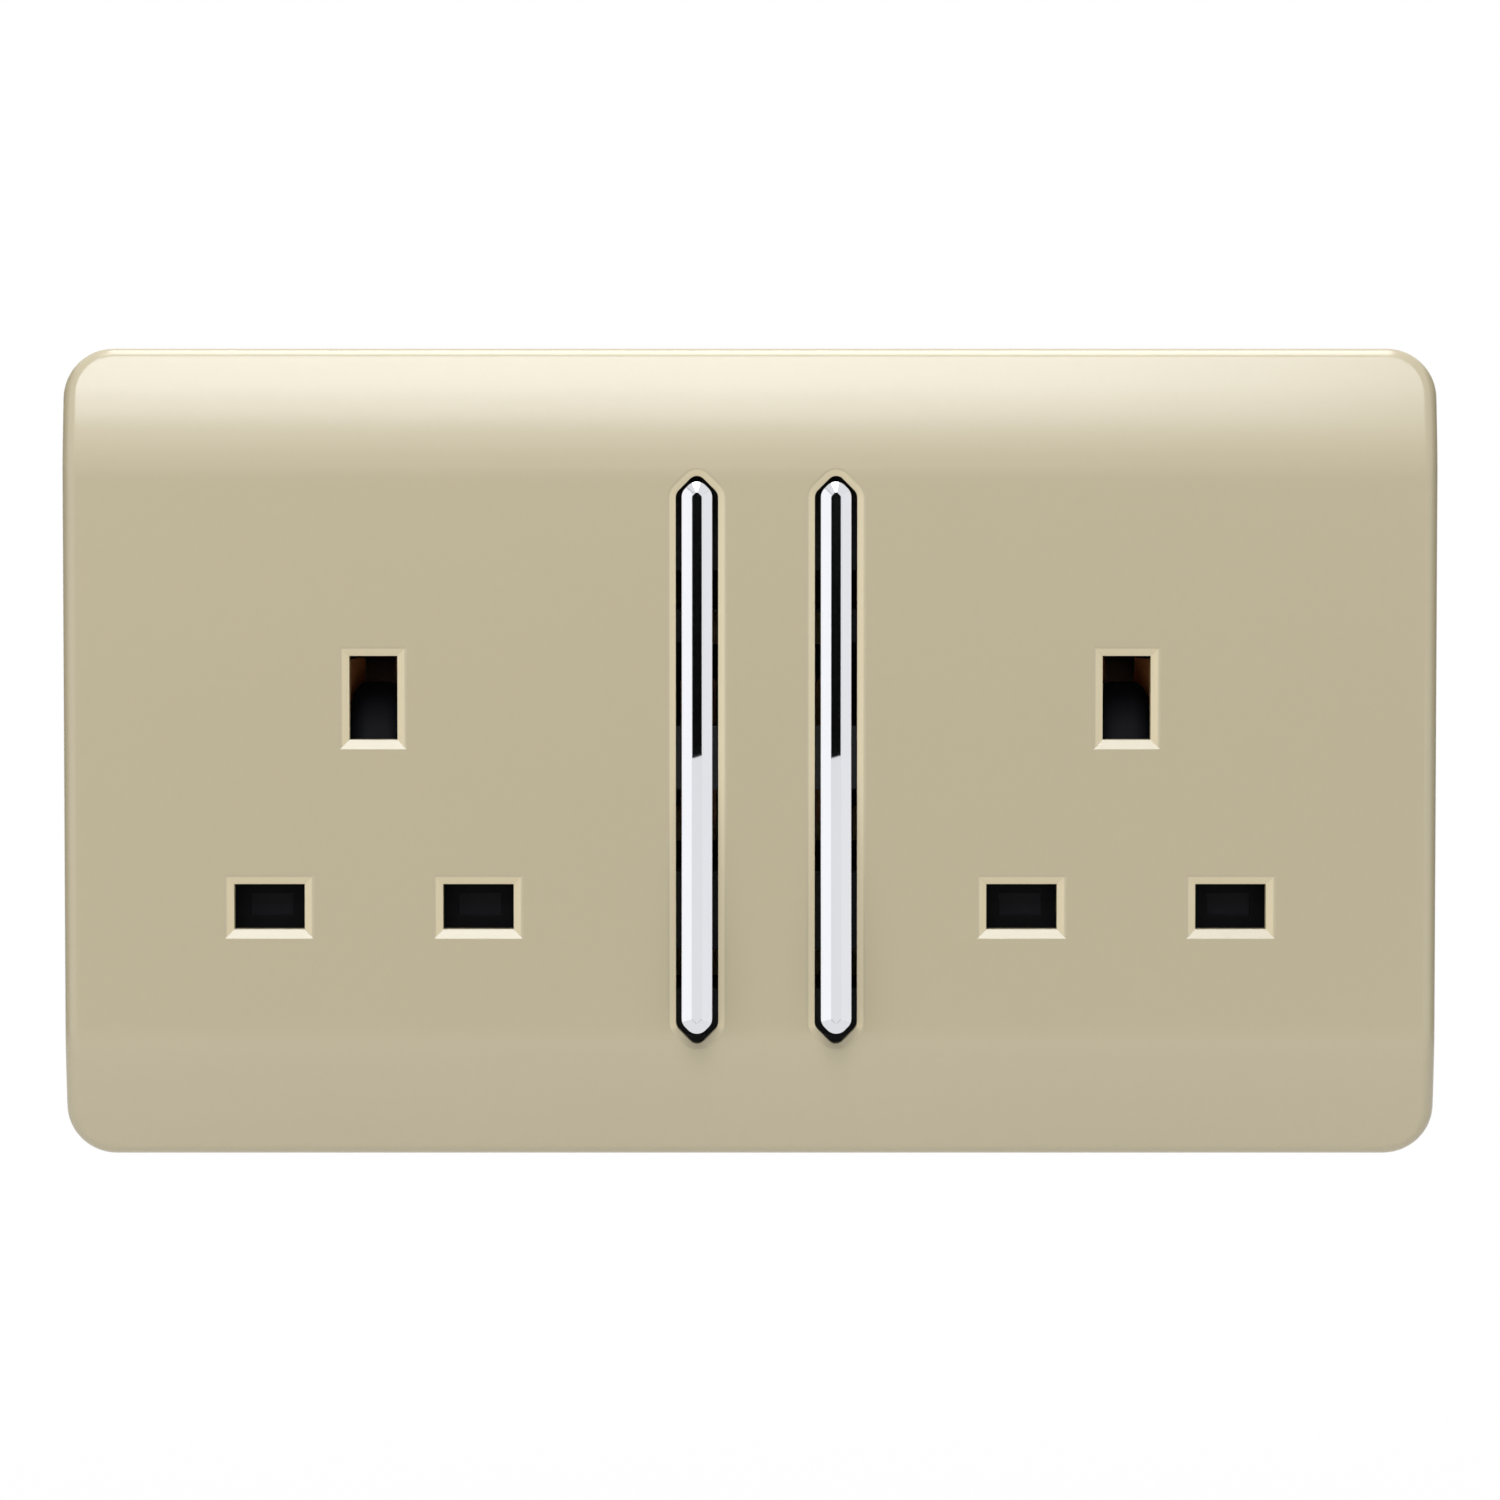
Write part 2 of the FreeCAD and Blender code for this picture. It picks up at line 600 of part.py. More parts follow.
def build_front_cover():
    cover = Piece("front_cover")
    cover.pad("side", 0, [plate_section()], size["cover_width"], both_ways=True)
    cover.fillet(size["corner_radius"], lambda edge: runs_along(edge, Y_AXIS))
    crease = flat_edge.value
    cover.fillet(
        size["crease_radius"],
        lambda edge: runs_along(edge, X_AXIS) and near(abs(edge.CenterOfMass.z), crease),
    )
    top = half_height.value
    cover.fillet(
        size["edge_radius"],
        lambda edge: edge.BoundBox.YMin < -0.1
        and not runs_along(edge, Y_AXIS)
        and not (runs_along(edge, X_AXIS) and abs(edge.CenterOfMass.z) < top - 0.01),
    )
    wall = size["cover_wall"]
    cover.pocket("side", 0, [plate_section(wall)], size["cover_width"] - wall * 2, True)
    inner_x, inner_z = (half_width - wall).value, (half_height - wall).value
    cover.fillet(
        size["corner_radius"] - wall,
        lambda edge: runs_along(edge, Y_AXIS)
        and near(abs(edge.CenterOfMass.x), inner_x)
        and near(abs(edge.CenterOfMass.z), inner_z),
    )
    cover.pocket("front", size["cover_depth"], apertures(), size["cover_depth"])
    front = size["cover_depth"].value
    cover.chamfer(
        size["lead_in_width"],
        size["lead_in_depth"],
        lambda edge: near(edge.BoundBox.YMax, -front)
        and near(edge.BoundBox.YMin, -front)
        and edge.BoundBox.XLength < size["side_pin_width"].value + 1
        and edge.BoundBox.ZLength < size["earth_pin_height"].value + 1,
        flipped=True,
    )
    above = size["cover_depth"] + size["slot_lip_depth"]
    for x in switches.values():
        slot = rocker_slot(x)
        cover.pocket("front", above, [slot], above)
        lip_foot = size["cover_depth"] - size["slot_lip_depth"]
        lip = rocker_slot(x, size["slot_lip_width"] * 2)
        cover.taper_cut("front", above, lip, lip_foot, slot)
    root = half_height - wall + SUNK
    tip = half_height - wall - size["hook_reach"]
    nose = size["hook_top"] - size["hook_nose"]
    hook = [(-size["hook_top"], root), (-size["hook_foot"], root), (-nose, tip)]
    for x in hooks:
        for up in (1, -1):
            profile = [(y, z * up) for y, z in hook]
            cover.pad("side", x, [profile], size["hook_width"], both_ways=True)
    pry_half = size["pry_width"] / 2
    pry = rectangle(-pry_half, pry_half, -half_height - OVERRUN, -half_height + wall / 2)
    cover.pocket("front", size["pry_height"], [pry], size["pry_height"])


# Mounting frame
# A black moulded tray under the cover. It carries the fixing holes, the cheeks that the rockers
# pivot in, the rails that the shutters slide between, and bosses for the assembly screws.


def build_mounting_frame():
    frame = Piece("mounting_frame")
    width = size["cover_width"] - frame_inset * 2
    wall = size["frame_wall"]
    frame.pad("side", 0, [plate_section(frame_inset)], width, both_ways=True)
    frame.fillet(size["corner_radius"] - frame_inset, lambda edge: runs_along(edge, Y_AXIS))
    frame.pocket("side", 0, [plate_section(frame_inset + wall)], width - wall * 2, True)
    frame.pad(
        "front",
        0,
        [circle(x, 0, size["fixing_boss"] / 2) for x in fixings],
        frame_inside,
    )
    bosses = [circle(x, z, size["assembly_boss"] / 2) for x, z in assembly_points]
    rails = []
    bar_side = shutter_half_width + size["rail_gap"]
    stem_side = size["shutter_stem_width"] / 2 + size["rail_gap"]
    seat_half = size["shutter_peg"] * 4
    for x in sockets.values():
        for across in (-1, 1):
            ends = beside(x, across, bar_side, size["rail_width"])
            rails.append(rectangle(*ends, spring_floor + size["peg_length"], shutter_top))
            ends = beside(x, across, stem_side, size["stem_rail_width"])
            rails.append(rectangle(*ends, shutter_top + size["slide_gap"], ramp_foot - wall))
        seat_low = spring_floor - size["stem_rail_width"]
        rails.append(rectangle(x - seat_half, x + seat_half, seat_low, spring_floor))
    stiffeners = [
        centred(x, 0, size["stiffener_width"], size["stiffener_height"])
        for x in (
            switches["left"] - size["stiffener_offset"],
            switches["right"] + size["stiffener_offset"],
        )
    ]
    for ribs in (bosses, rails, stiffeners):
        frame.pad("front", deck, ribs, frame_inside - deck)
    cheek_foot = size["pivot_depth"] - size["cheek_depth"]
    low = switch_level - size["cheek_half_height"]
    high = switch_level + size["cheek_half_height"]
    cheeks = [
        rectangle(*beside(x, across, cheek_side, size["cheek_width"]), low, high)
        for x in switches.values()
        for across in (-1, 1)
    ]
    frame.pad("front", cheek_foot, cheeks, frame_inside - cheek_foot)
    frame.pocket("front", frame_front, apertures(size["frame_relief"]), wall)
    relief = size["slot_relief"] * 2
    slots = [
        centred(x, switch_level, size["slot_width"] + relief, size["slot_length"] + relief)
        for x in switches.values()
    ]
    frame.pocket("front", frame_front, slots, wall)
    for x in switches.values():
        bearing = circle(
            -size["pivot_depth"], switch_level, size["trunnion_radius"] + size["bearing_fit"]
        )
        reach = (cheek_side + size["cheek_width"]) * 2
        frame.pocket("side", x, [bearing], reach, both_ways=True)
    wells = [circle(x, 0, size["fixing_well"] / 2) for x in fixings]
    frame.pocket("front", frame_front, wells, frame_front - size["fixing_seat"])
    holes = [circle(x, 0, size["fixing_hole"] / 2) for x in fixings]
    frame.pocket("front", size["fixing_seat"], holes, size["fixing_seat"])
    pilots = [
        circle(x, z, size["assembly_screw"] / 2 + size["bearing_fit"]) for x, z in assembly_points
    ]
    pilot_end = frame_inside + wall / 2
    frame.pocket("front", pilot_end, pilots, pilot_end - deck)
    for x in hooks:
        for up in (-1, 1):
            gap = size["hook_width"] + size["notch_gap"] * 2
            notch = centred(x, up * (half_height - frame_inset), gap, wall * 2 + SUNK)
            top = size["hook_top"] + size["notch_gap"]
            frame.pocket("front", top, [notch], top)


# Rear housing
# A deep moulded block behind the wall face, with chambers for the pin grips, channels for the
# conductors and pockets for the terminals. Its back is cored out, and two notches clear the lugs of
# the wall box.


def channels(runs):
    """The channels of flat stretches of strip, each a little larger than its strip."""
    room = size["strip_room"]
    return [
        rectangle(left - room, right + room, bottom - room, top + room)
        for left, right, bottom, top in runs
    ]


def build_rear_housing():
    housing = Piece("rear_housing")
    depth = deck - housing_back
    outline = centred(
        0, 0, housing_half_width * 2, housing_half_height * 2, size["housing_corner"]
    )
    housing.pad("front", housing_back, [outline], depth)
    back = -housing_back.value
    housing.chamfer(
        size["housing_bevel"], size["housing_bevel"], lambda edge: near(edge.BoundBox.YMin, back)
    )
    overhang = size["lug_notch_depth"] + OVERRUN
    notch_x = housing_half_width - size["lug_notch_depth"] + overhang / 2
    notches = [
        centred(across * notch_x, 0, overhang, size["lug_notch_height"]) for across in (-1, 1)
    ]
    housing.pocket("front", deck, notches, depth)
    cut_chambers(housing)
    cut_terminal_beds(housing)
    shafts = [
        circle(x, z, (size["assembly_screw"] + size["screw_room"]) / 2) for x, z in assembly_points
    ]
    housing.pocket("front", deck, shafts, depth)
    recess_top = housing_back + size["assembly_recess"]
    recess = size["assembly_head"] / 2 + size["screw_room"]
    recesses = [circle(x, z, recess) for x, z in assembly_points]
    housing.pocket("front", recess_top, recesses, size["assembly_recess"])


def cut_chambers(housing):
    """The chambers of the grips and switches, the channels between them and the cores behind."""
    inset = size["core_inset"] * 2
    rooms = [(x, z, size["chamber_width"], size["chamber_height"]) for x, z in pins]
    rooms += [
        (x, switch_level, size["switch_room_width"], size["switch_room_height"])
        for x in switches.values()
    ]
    earth_rooms = [
        (x, size["earth_rise"], size["earth_chamber_width"], size["earth_chamber_height"])
        for x in sockets.values()
    ]
    for places, floor in ((rooms, chamber_floor), (earth_rooms, earth_floor)):
        loops = [centred(*place) for place in places]
        housing.pocket("front", deck, loops, deck - floor)
        cores = [centred(x, z, width - inset, height - inset) for x, z, width, height in places]
        core_top = floor - size["core_floor"]
        housing.pocket("front", core_top, cores, core_top - housing_back)
    ramp_half = size["ramp_width"] / 2 + size["ramp_room"]
    ramp_low = ramp_foot - size["shutter_travel"] - size["ramp_room"]
    ramp_rooms = [
        rectangle(x - ramp_half, x + ramp_half, ramp_low, size["earth_rise"])
        for x in sockets.values()
    ]
    housing.pocket("front", shutter_front, ramp_rooms, size["ramp_depth"] + size["ramp_room"])
    left, right = live_run("left"), live_run("right")
    neutral, line = neutral_runs(), line_runs()
    bars = [left[1], right[1]] + neutral[0] + line[0]
    risers = [left[2], right[2]] + neutral[1] + line[1]
    for stretches in (bars, risers):
        housing.pocket("front", deck, channels(stretches), deck - chamber_floor)
    for stretches in earth_runs():
        housing.pocket("front", deck, channels(stretches), deck - earth_floor)


def cut_terminal_beds(housing):
    """The beds of the terminals, the entries for the conductors and the holes for their screws."""
    bed_floor = terminal_back - size["floor_gap"]
    gap = size["bed_gap"] * 2
    beds = [
        centred(x, z, size["terminal_width"] + gap, size["terminal_height"] + gap)
        for x, z in terminals.values()
    ]
    housing.pocket("front", deck, beds, deck - bed_floor)
    access = size["terminal_head"] / 2 + size["screw_room"]
    holes = [circle(x, z, access) for x, z in terminals.values()]
    housing.pocket("front", terminal_back, holes, terminal_back - housing_back)
    reach = size["terminal_inset"]
    for up in (1, -1):
        entries = [
            circle(x, -wire_level, size["wire_entry"] / 2)
            for x, z in terminals.values()
            if z.value * up > 0
        ]
        middle = up * (housing_half_height - reach / 2)
        housing.pocket("top", middle, entries, reach, both_ways=True)


# Conductors
# Strips stamped from brass. Each lies flat in its channel, and folded leaves stand up from it to
# grip a pin. The runs below are (left, right, bottom, top) of each flat stretch, seen from the
# front; the strip and the channel under it follow the same values.

terminals = {
    "live": (size["switch_shift"], terminal_level),
    "neutral": (size["switch_shift"], -terminal_level),
    "earth_left": (-size["terminal_spacing"], terminal_level),
    "earth_right": (size["terminal_spacing"], terminal_level),
}
terminal_back = strip_back - size["terminal_depth"]
wire_level = strip_back - size["terminal_depth"] / 2
# Places along a grip's leaf, as shares of its way from the strip to the wall face
GRIP_BEND = 0.68
GRIP_PINCH = 0.28
GRIP_MOUTH = 0.2
half_grip = size["grip_width"] / 2
half_strip = size["strip_width"] / 2
grip_reach = size["side_pin_height"] / 2 + size["grip_margin"]
crossing = switch_level - size["crossing_drop"]


def live_run(hand):
    """The flat stretches of one switched live strip: under the lever, across, down, to the pin."""
    switch = switches[hand]
    pin = sockets[hand] + side_pin
    half_lever = size["lever_width"] / 2
    above = switch_level + size["saddle_height"] / 2 + size["saddle_margin"]
    if hand == "left":
        ends = (pin - half_strip, switch + half_lever)
    else:
        ends = (switch - half_lever, pin + half_strip)
    return [
        (switch - half_lever, switch + half_lever, crossing - half_strip, above),
        (*ends, crossing - half_strip, crossing + half_strip),
        (pin - half_strip, pin + half_strip, live_level, crossing),
        (pin - half_grip, pin + half_grip, live_level - grip_reach, live_level + grip_reach),
    ]


def neutral_runs():
    """The flat stretches of the neutral strip: past its terminal, and up to both pins."""
    places = [x - side_pin for x in sockets.values()]
    low, high = neutral_level - half_strip, neutral_level + half_strip
    bar = (places[0] - half_grip, places[1] + half_grip, low, high)
    tabs = [(x - half_grip, x + half_grip, neutral_level, live_level + grip_reach) for x in places]
    return [bar], tabs


def line_runs():
    """The flat stretches of the incoming live strip: across both switches, and to its terminal."""
    terminal_x = terminals["live"][0]
    half_tab = size["tab_width"] / 2
    level = switch_level + size["line_rise"]
    ends = (switches["left"] - half_tab, switches["right"] + half_tab)
    bar = (*ends, level - half_strip, level + half_strip)
    riser = (terminal_x - half_strip, terminal_x + half_strip, level, terminal_level)
    return [bar], [riser]


def line_tabs():
    """The tabs of that strip that reach down into the chambers, under the levers' upper ends."""
    half_tab = size["tab_width"] / 2
    low = switch_level + size["button_offset"] - half_tab
    high = switch_level + size["line_rise"]
    return [(x - half_tab, x + half_tab, low, high) for x in switches.values()]


def earth_runs():
    """The flat stretches of the earth strip: between the pins, and to both pins and terminals."""
    level = terminal_level - size["earth_run_drop"]
    half_tab = size["earth_tab_width"] / 2
    ends = (sockets["left"] - half_tab, sockets["right"] + half_tab)
    bar = (*ends, level - half_strip, level + half_strip)
    pin_low = size["earth_rise"] - size["earth_grip_height"] / 2
    tabs = [(x - half_tab, x + half_tab, pin_low, level) for x in sockets.values()]
    foot = terminal_level - size["terminal_height"] / 2
    feet = [
        (terminals[name][0] - half_tab, terminals[name][0] + half_tab, level, foot)
        for name in ("earth_left", "earth_right")
    ]
    return [bar], tabs + feet


def lay_strip(piece, stretches, back):
    """Lay some flat stretches of a strip on its seat."""
    loops = [rectangle(*stretch) for stretch in stretches]
    piece.pad("front", back, loops, size["strip_thickness"])


def leaves(middle, stations):
    """Two bent leaves that face each other. A station is a depth and a distance from the middle."""
    leaf = size["grip_thickness"]
    loops = []
    for hand in (-1, 1):
        inner = [(y, middle + hand * gap) for y, gap in stations]
        outer = [(y, middle + hand * (gap + leaf)) for y, gap in reversed(stations)]
        loops.append(inner + outer)
    return loops


def side_pin_grip(piece, x):
    """Two leaves that close on the top and bottom of a live or neutral pin, flared at the mouth."""
    root = -strip_front
    stations = [
        (root, size["grip_root"]),
        (root * GRIP_BEND, size["grip_root"]),
        (root * GRIP_PINCH, size["grip_pinch"]),
        (-deck * GRIP_MOUTH, size["grip_mouth"]),
    ]
    piece.pad("side", x, leaves(live_level, stations), size["grip_width"], both_ways=True)


def earth_grip(piece, x):
    """Two leaves that close on the sides of an earth pin, flared to clear the shutter's ramp."""
    root = -earth_strip_front
    ramp_back = size["ramp_depth"] - shutter_front
    stations = [
        (root, size["grip_root"]),
        (root * GRIP_BEND, size["grip_root"]),
        (root * GRIP_PINCH, size["grip_pinch"]),
        (ramp_back + size["ramp_room"] * 1.5, size["ramp_width"] / 2 + size["slide_gap"]),
    ]
    loops = [[(across, y) for y, across in loop] for loop in leaves(x, stations)]
    piece.pad("top", size["earth_rise"], loops, size["earth_grip_height"], both_ways=True)


def build_conductors():
    for hand in ("left", "right"):
        contact = Piece(f"live_contact_{hand}")
        for stretch in live_run(hand):
            lay_strip(contact, [stretch], strip_back)
        side_pin_grip(contact, sockets[hand] + side_pin)
        saddle = centred(
            switches[hand],
            switch_level,
            size["lever_width"] - size["grip_thickness"],
            size["saddle_height"],
        )
        contact.pad("front", strip_front, [saddle], saddle_top - strip_front)
        ridge = saddle_top.value
        contact.fillet(
            size["saddle_height"] * 0.4,
            lambda edge: runs_along(edge, X_AXIS) and near(edge.CenterOfMass.y, -ridge),
        )
    neutral = Piece("neutral_bar")
    for stretches in neutral_runs():
        lay_strip(neutral, stretches, strip_back)
    for x in sockets.values():
        side_pin_grip(neutral, x - side_pin)
    earth = Piece("earth_bar")
    for stretches in earth_runs():
        lay_strip(earth, stretches, earth_strip_back)
    for x in sockets.values():
        earth_grip(earth, x)
    line = Piece("line_bar")
    for stretches in (*line_runs(), line_tabs()):
        lay_strip(line, stretches, strip_back)
    buttons = [
        circle(x, switch_level + size["button_offset"], size["button_radius"])
        for x in switches.values()
    ]
    line.pad("front", strip_front, buttons, fixed_contact_top - strip_front)


# Terminals
# Brass pillars with a cross hole for the conductors and a clamping screw from behind.


def build_terminals():
    for name, (x, z) in terminals.items():
        kind, _, hand = name.partition("_")
        suffix = f"_{hand}" if hand else ""
        block = Piece(f"{kind}_terminal{suffix}")
        width, height, depth = (size[f"terminal_{way}"] for way in ("width", "height", "depth"))
        outline = centred(x, z, width, height)
        block.pad("front", terminal_back, [outline], depth)
        wire = circle(x, -wire_level, size["wire_hole"] / 2)
        block.pocket("top", z, [wire], height + OVERRUN, both_ways=True)
        thread = circle(x, z, size["terminal_screw"] / 2 + size["bearing_fit"])
        block.pocket("front", wire_level, [thread], wire_level - terminal_back)
        screw = Piece(f"{kind}_terminal_screw{suffix}")
        screw.turn(screw_outline(depth / 2 - size["wire_hole"] / 2))
        top = size["floor_gap"] + size["screw_head_height"]
        slot = centred(0, 0, size["terminal_head"] + OVERRUN, size["screw_slot"])
        screw.pocket("front", size["screw_slot"] - top, [slot], size["screw_slot"])
        screw.place(x, terminal_back, z)


def screw_outline(wall):
    """Half the section of a terminal screw, as (radius, y). Its tip stands out of the block's
    wall into the hole for the conductors, and its head stays just clear of the block's back."""
    shank, head = size["terminal_screw"] / 2, size["terminal_head"] / 2
    tip = wall + size["screw_slot"]
    seat = size["floor_gap"]
    top = seat + size["screw_head_height"]
    return [(0, -tip), (shank, -tip), (shank, seat), (head, seat), (head, top), (0, top)]


# Shutters
# One black moulding behind each socket. A bar closes the live and neutral apertures, and a stem
# carries the ramp behind the earth aperture. The longer earth pin drives the ramp down against a
# spring, which opens the other two.


def build_shutters():
    for hand, x in sockets.items():
        shutter = Piece(f"shutter_{hand}")
        bar = rectangle(x - shutter_half_width, x + shutter_half_width, shutter_foot, shutter_top)
        shutter.pad("front", shutter_back, [bar], size["shutter_thickness"])
        half_stem = size["shutter_stem_width"] / 2
        stem = rectangle(x - half_stem, x + half_stem, live_level, ramp_foot)
        shutter.pad("front", shutter_back, [stem], size["shutter_thickness"])
        ramp_back = shutter_front - size["ramp_depth"]
        ramp = [(-shutter_front, ramp_foot), (-ramp_back, ramp_foot), (-ramp_back, ramp_top)]
        shutter.pad("side", x, [ramp], size["ramp_width"], both_ways=True)
        half_ramp = size["ramp_width"].value / 2
        middle = x.value
        shutter.fillet(
            size["ramp_edge"],
            lambda edge: near(abs(edge.CenterOfMass.x - middle), half_ramp)
            and near(edge.CenterOfMass.z, (ramp_foot.value + ramp_top.value) / 2)
            and not runs_along(edge, Z_AXIS),
        )
        marks = [
            centred(x + across * side_pin, live_level, size["mark_width"], size["mark_height"])
            for across in (-1, 1)
        ]
        shutter.pocket("front", shutter_front, marks, size["mark_depth"])
        peg_y = -(shutter_front + shutter_back) / 2
        peg = circle(x, peg_y, size["shutter_peg"])
        shutter.pad("top", shutter_foot - size["peg_length"], [peg], size["peg_length"])
        foot = Vector(x.value, peg_y.value, spring_floor.value)
        add_spring(
            f"shutter_spring_{hand}", foot, Z_AXIS, spring_room, size["shutter_peg"]
        )


# Springs
# Compression springs of square wire, wound in short straight steps. Each ends just clear of the
# two faces that it pushes on.

STEPS_A_TURN = 8


def add_spring(name, foot, axis, room, peg):
    """A spring that fills the room from its foot along the axis, round a peg of some radius."""
    wire = size["spring_wire"].value
    radius = (peg + size["spring_fit"]).value + wire / 2
    steps = round(size["spring_turns"].value * STEPS_A_TURN)
    lift = wire * 0.9
    pitch = (room.value - lift * 2) / steps
    path = []
    for step in range(steps + 1):
        angle = 2 * math.pi * step / STEPS_A_TURN
        path.append(Vector(radius * math.cos(angle), radius * math.sin(angle), pitch * step))
    inner, outer = radius - wire / 2, radius + wire / 2
    corners = [(inner, -wire / 2), (outer, -wire / 2), (outer, wire / 2), (inner, wire / 2)]
    section = Part.makePolygon([Vector(x, 0, z) for x, z in corners + corners[:1]])
    coil = Part.makePolygon(path).makePipeShell([section], True, False, 1)
    spring = document.addObject("Part::Feature", name)
    spring.Label = name
    spring.Shape = coil
    start = foot + axis * lift
    spring.Placement = FreeCAD.Placement(start, FreeCAD.Rotation(Z_AXIS, axis))
    pieces.append(spring)


# Rockers
# A chrome-plated cap pressed onto a moulded carrier. The carrier has two pivot pins that sit in the
# frame's cheeks, and a stem with a sprung plunger that tips the contact lever over. Both rockers
# stand as they are when switched off: the top is pressed in and the bottom stands proud. They are
# built level about their pivot and then tilted.


def vee(top, half_length):
    """The level of a rocker's face above its pivot, at the middle and at the two ends."""
    return top, top + half_length * tangent(size["half_throw"])


def build_rockers():
    tilt = -size["half_throw"]
    face = size["cover_depth"] + size["rocker_proud"] - size["pivot_depth"]
    half_length = size["rocker_length"] / 2
    beyond = half_length + OVERRUN
    bevel_width = (size["rocker_width"] - size["rocker_facet"]) / 2
    for hand, x in switches.items():
        cap = Piece(f"rocker_cap_{hand}")
        middle, end = vee(face, beyond)
        skirt = size["rocker_skirt"]
        side_view = [
            (-end, beyond),
            (-middle, 0),
            (-end, -beyond),
            (-end + skirt, -beyond),
            (-middle + skirt, 0),
            (-end + skirt, beyond),
        ]
        cap.pad("side", 0, [side_view], size["rocker_width"], both_ways=True)
        cap.fillet(
            size["rocker_crease"],
            lambda edge: runs_along(edge, X_AXIS)
            and near(edge.CenterOfMass.z, 0)
            and near(edge.CenterOfMass.y, -face.value),
        )
        plan = arched(
            0,
            0,
            size["rocker_width"],
            size["rocker_length"],
            bevel_width + size["facet_end"],
            bevel_width + size["facet_end"],
        )
        over = OVERRUN * 2
        waste = centred(0, 0, size["rocker_width"] + over, beyond * 2 + over)
        cap.pocket("front", end + OVERRUN, [waste, plan], end + OVERRUN)
        cap.chamfer(
            bevel_width,
            size["rocker_bevel"],
            lambda edge: edge.BoundBox.YMax < -face.value + 0.001
            and not runs_along(edge, X_AXIS)
            and not runs_along(edge, Y_AXIS),
        )
        inside_end = half_length - size["cap_end"]
        roof, roof_end = vee(face - size["cap_roof"], inside_end)
        hollow = [
            (-roof_end, inside_end),
            (-roof, 0),
            (-roof_end, -inside_end),
            (0, -inside_end),
            (0, inside_end),
        ]
        inside = size["rocker_width"] - size["cap_wall"] * 2
        cap.pocket("side", 0, [hollow], inside, both_ways=True)
        cap.place(x, size["pivot_depth"], switch_level, tilt)
        build_carrier(hand, x, roof, inside, inside_end, tilt)
        build_plunger(hand, x, tilt)


def build_carrier(hand, x, roof, inside, inside_end, tilt):
    """The moulded carrier: two arms inside the cap, pivot pins and the bored stem."""
    carrier = Piece(f"rocker_carrier_{hand}")
    reach = inside_end - size["cap_fit"]
    top, top_end = vee(roof - size["cap_fit"], reach)
    foot, foot_end = top - size["carrier_height"], top_end - size["carrier_height"]
    arms = [
        (-top_end, reach),
        (-top, 0),
        (-top_end, -reach),
        (-foot_end, -reach),
        (-foot, 0),
        (-foot_end, reach),
    ]
    arm_width = inside - size["cap_fit"] * 2
    carrier.pad("side", 0, [arms], arm_width, both_ways=True)
    skirt_foot = size["cover_depth"] + size["rocker_proud"] - size["pivot_depth"]
    stem_top = skirt_foot - size["rocker_skirt"] - size["slide_gap"] * 2
    neck = centred(0, 0, arm_width, size["stem_height"])
    carrier.pad("front", stem_top - SUNK, [neck], foot - stem_top + SUNK * 2)
    stem = centred(0, 0, size["stem_width"], size["stem_height"], size["stem_corner"])
    carrier.pad("front", -size["stem_reach"], [stem], size["stem_reach"] + stem_top)
    pin = circle(0, 0, size["trunnion_radius"])
    pin_reach = (cheek_side + size["cheek_width"] - size["trunnion_play"]) * 2
    carrier.pad("side", 0, [pin], pin_reach, both_ways=True)
    bore = circle(0, 0, size["plunger_radius"] + size["plunger_fit"])
    carrier.pocket("front", -size["bore_top"], [bore], size["stem_reach"] - size["bore_top"])
    carrier.place(x, size["pivot_depth"], switch_level, tilt)


def build_plunger(hand, x, tilt):
    """The nylon plunger and the spring between it and the blind end of the bore."""
    plunger = Piece(f"plunger_{hand}")
    radius = size["plunger_radius"]
    tip = size["plunger_reach"]
    seat = tip - size["plunger_length"]
    spigot = size["plunger_spigot_radius"]
    plunger.turn(plunger_outline(radius, spigot, seat, tip))
    plunger.place(x, size["pivot_depth"], switch_level, tilt)
    angle = math.radians(tilt.value)
    axis = Vector(0, -math.cos(angle), -math.sin(angle))
    pivot = Vector(x.value, -size["pivot_depth"].value, switch_level.value)
    foot = pivot - axis * seat.value
    add_spring(f"plunger_spring_{hand}", foot, axis, seat - size["bore_top"], spigot)


TIP_BEVEL = 0.75


def plunger_outline(radius, spigot, seat, tip):
    """Half the section of a plunger, as (radius, y): a spigot, a shank and a bevelled tip."""
    return [
        (0, seat - size["plunger_spigot"]),
        (spigot, seat - size["plunger_spigot"]),
        (spigot, seat),
        (radius, seat),
        (radius, tip - radius * TIP_BEVEL),
        (radius * (1 - TIP_BEVEL), tip),
        (0, tip),
    ]


# Contact levers
# A rocking copper strip on the live contact's saddle, with a silver contact on its upper end. With
# the switch off its lower half is pushed back, and the contacts stand apart.

lever_front = size["pivot_depth"] - size["plunger_reach"] - size["lever_gap"]
lever_axis = lever_front - size["lever_thickness"] / 2
saddle_top = lever_front - size["lever_thickness"] - size["lever_gap"]
lever_tilt = size["half_throw"] * size["lever_ratio"]
fixed_contact_top = (
    lever_axis
    - size["lever_thickness"] / 2
    - size["button_height"]
    - size["button_offset"] * tangent(lever_tilt)
    - size["contact_gap"]
)


def build_levers():
    for hand, x in switches.items():
        lever = Piece(f"contact_lever_{hand}")
        half = size["lever_thickness"] / 2
        strip = centred(
            0, 0, size["lever_width"], size["lever_half_length"] * 2, size["lever_thickness"]
        )
        lever.pad("front", -half, [strip], size["lever_thickness"])
        button = circle(0, size["button_offset"], size["button_radius"])
        lever.pad("front", -half - size["button_height"], [button], size["button_height"])
        lever.place(x, lever_axis, switch_level, lever_tilt)


# Assembly screws
# Four long screws from behind, through the rear housing into the bosses of the frame.


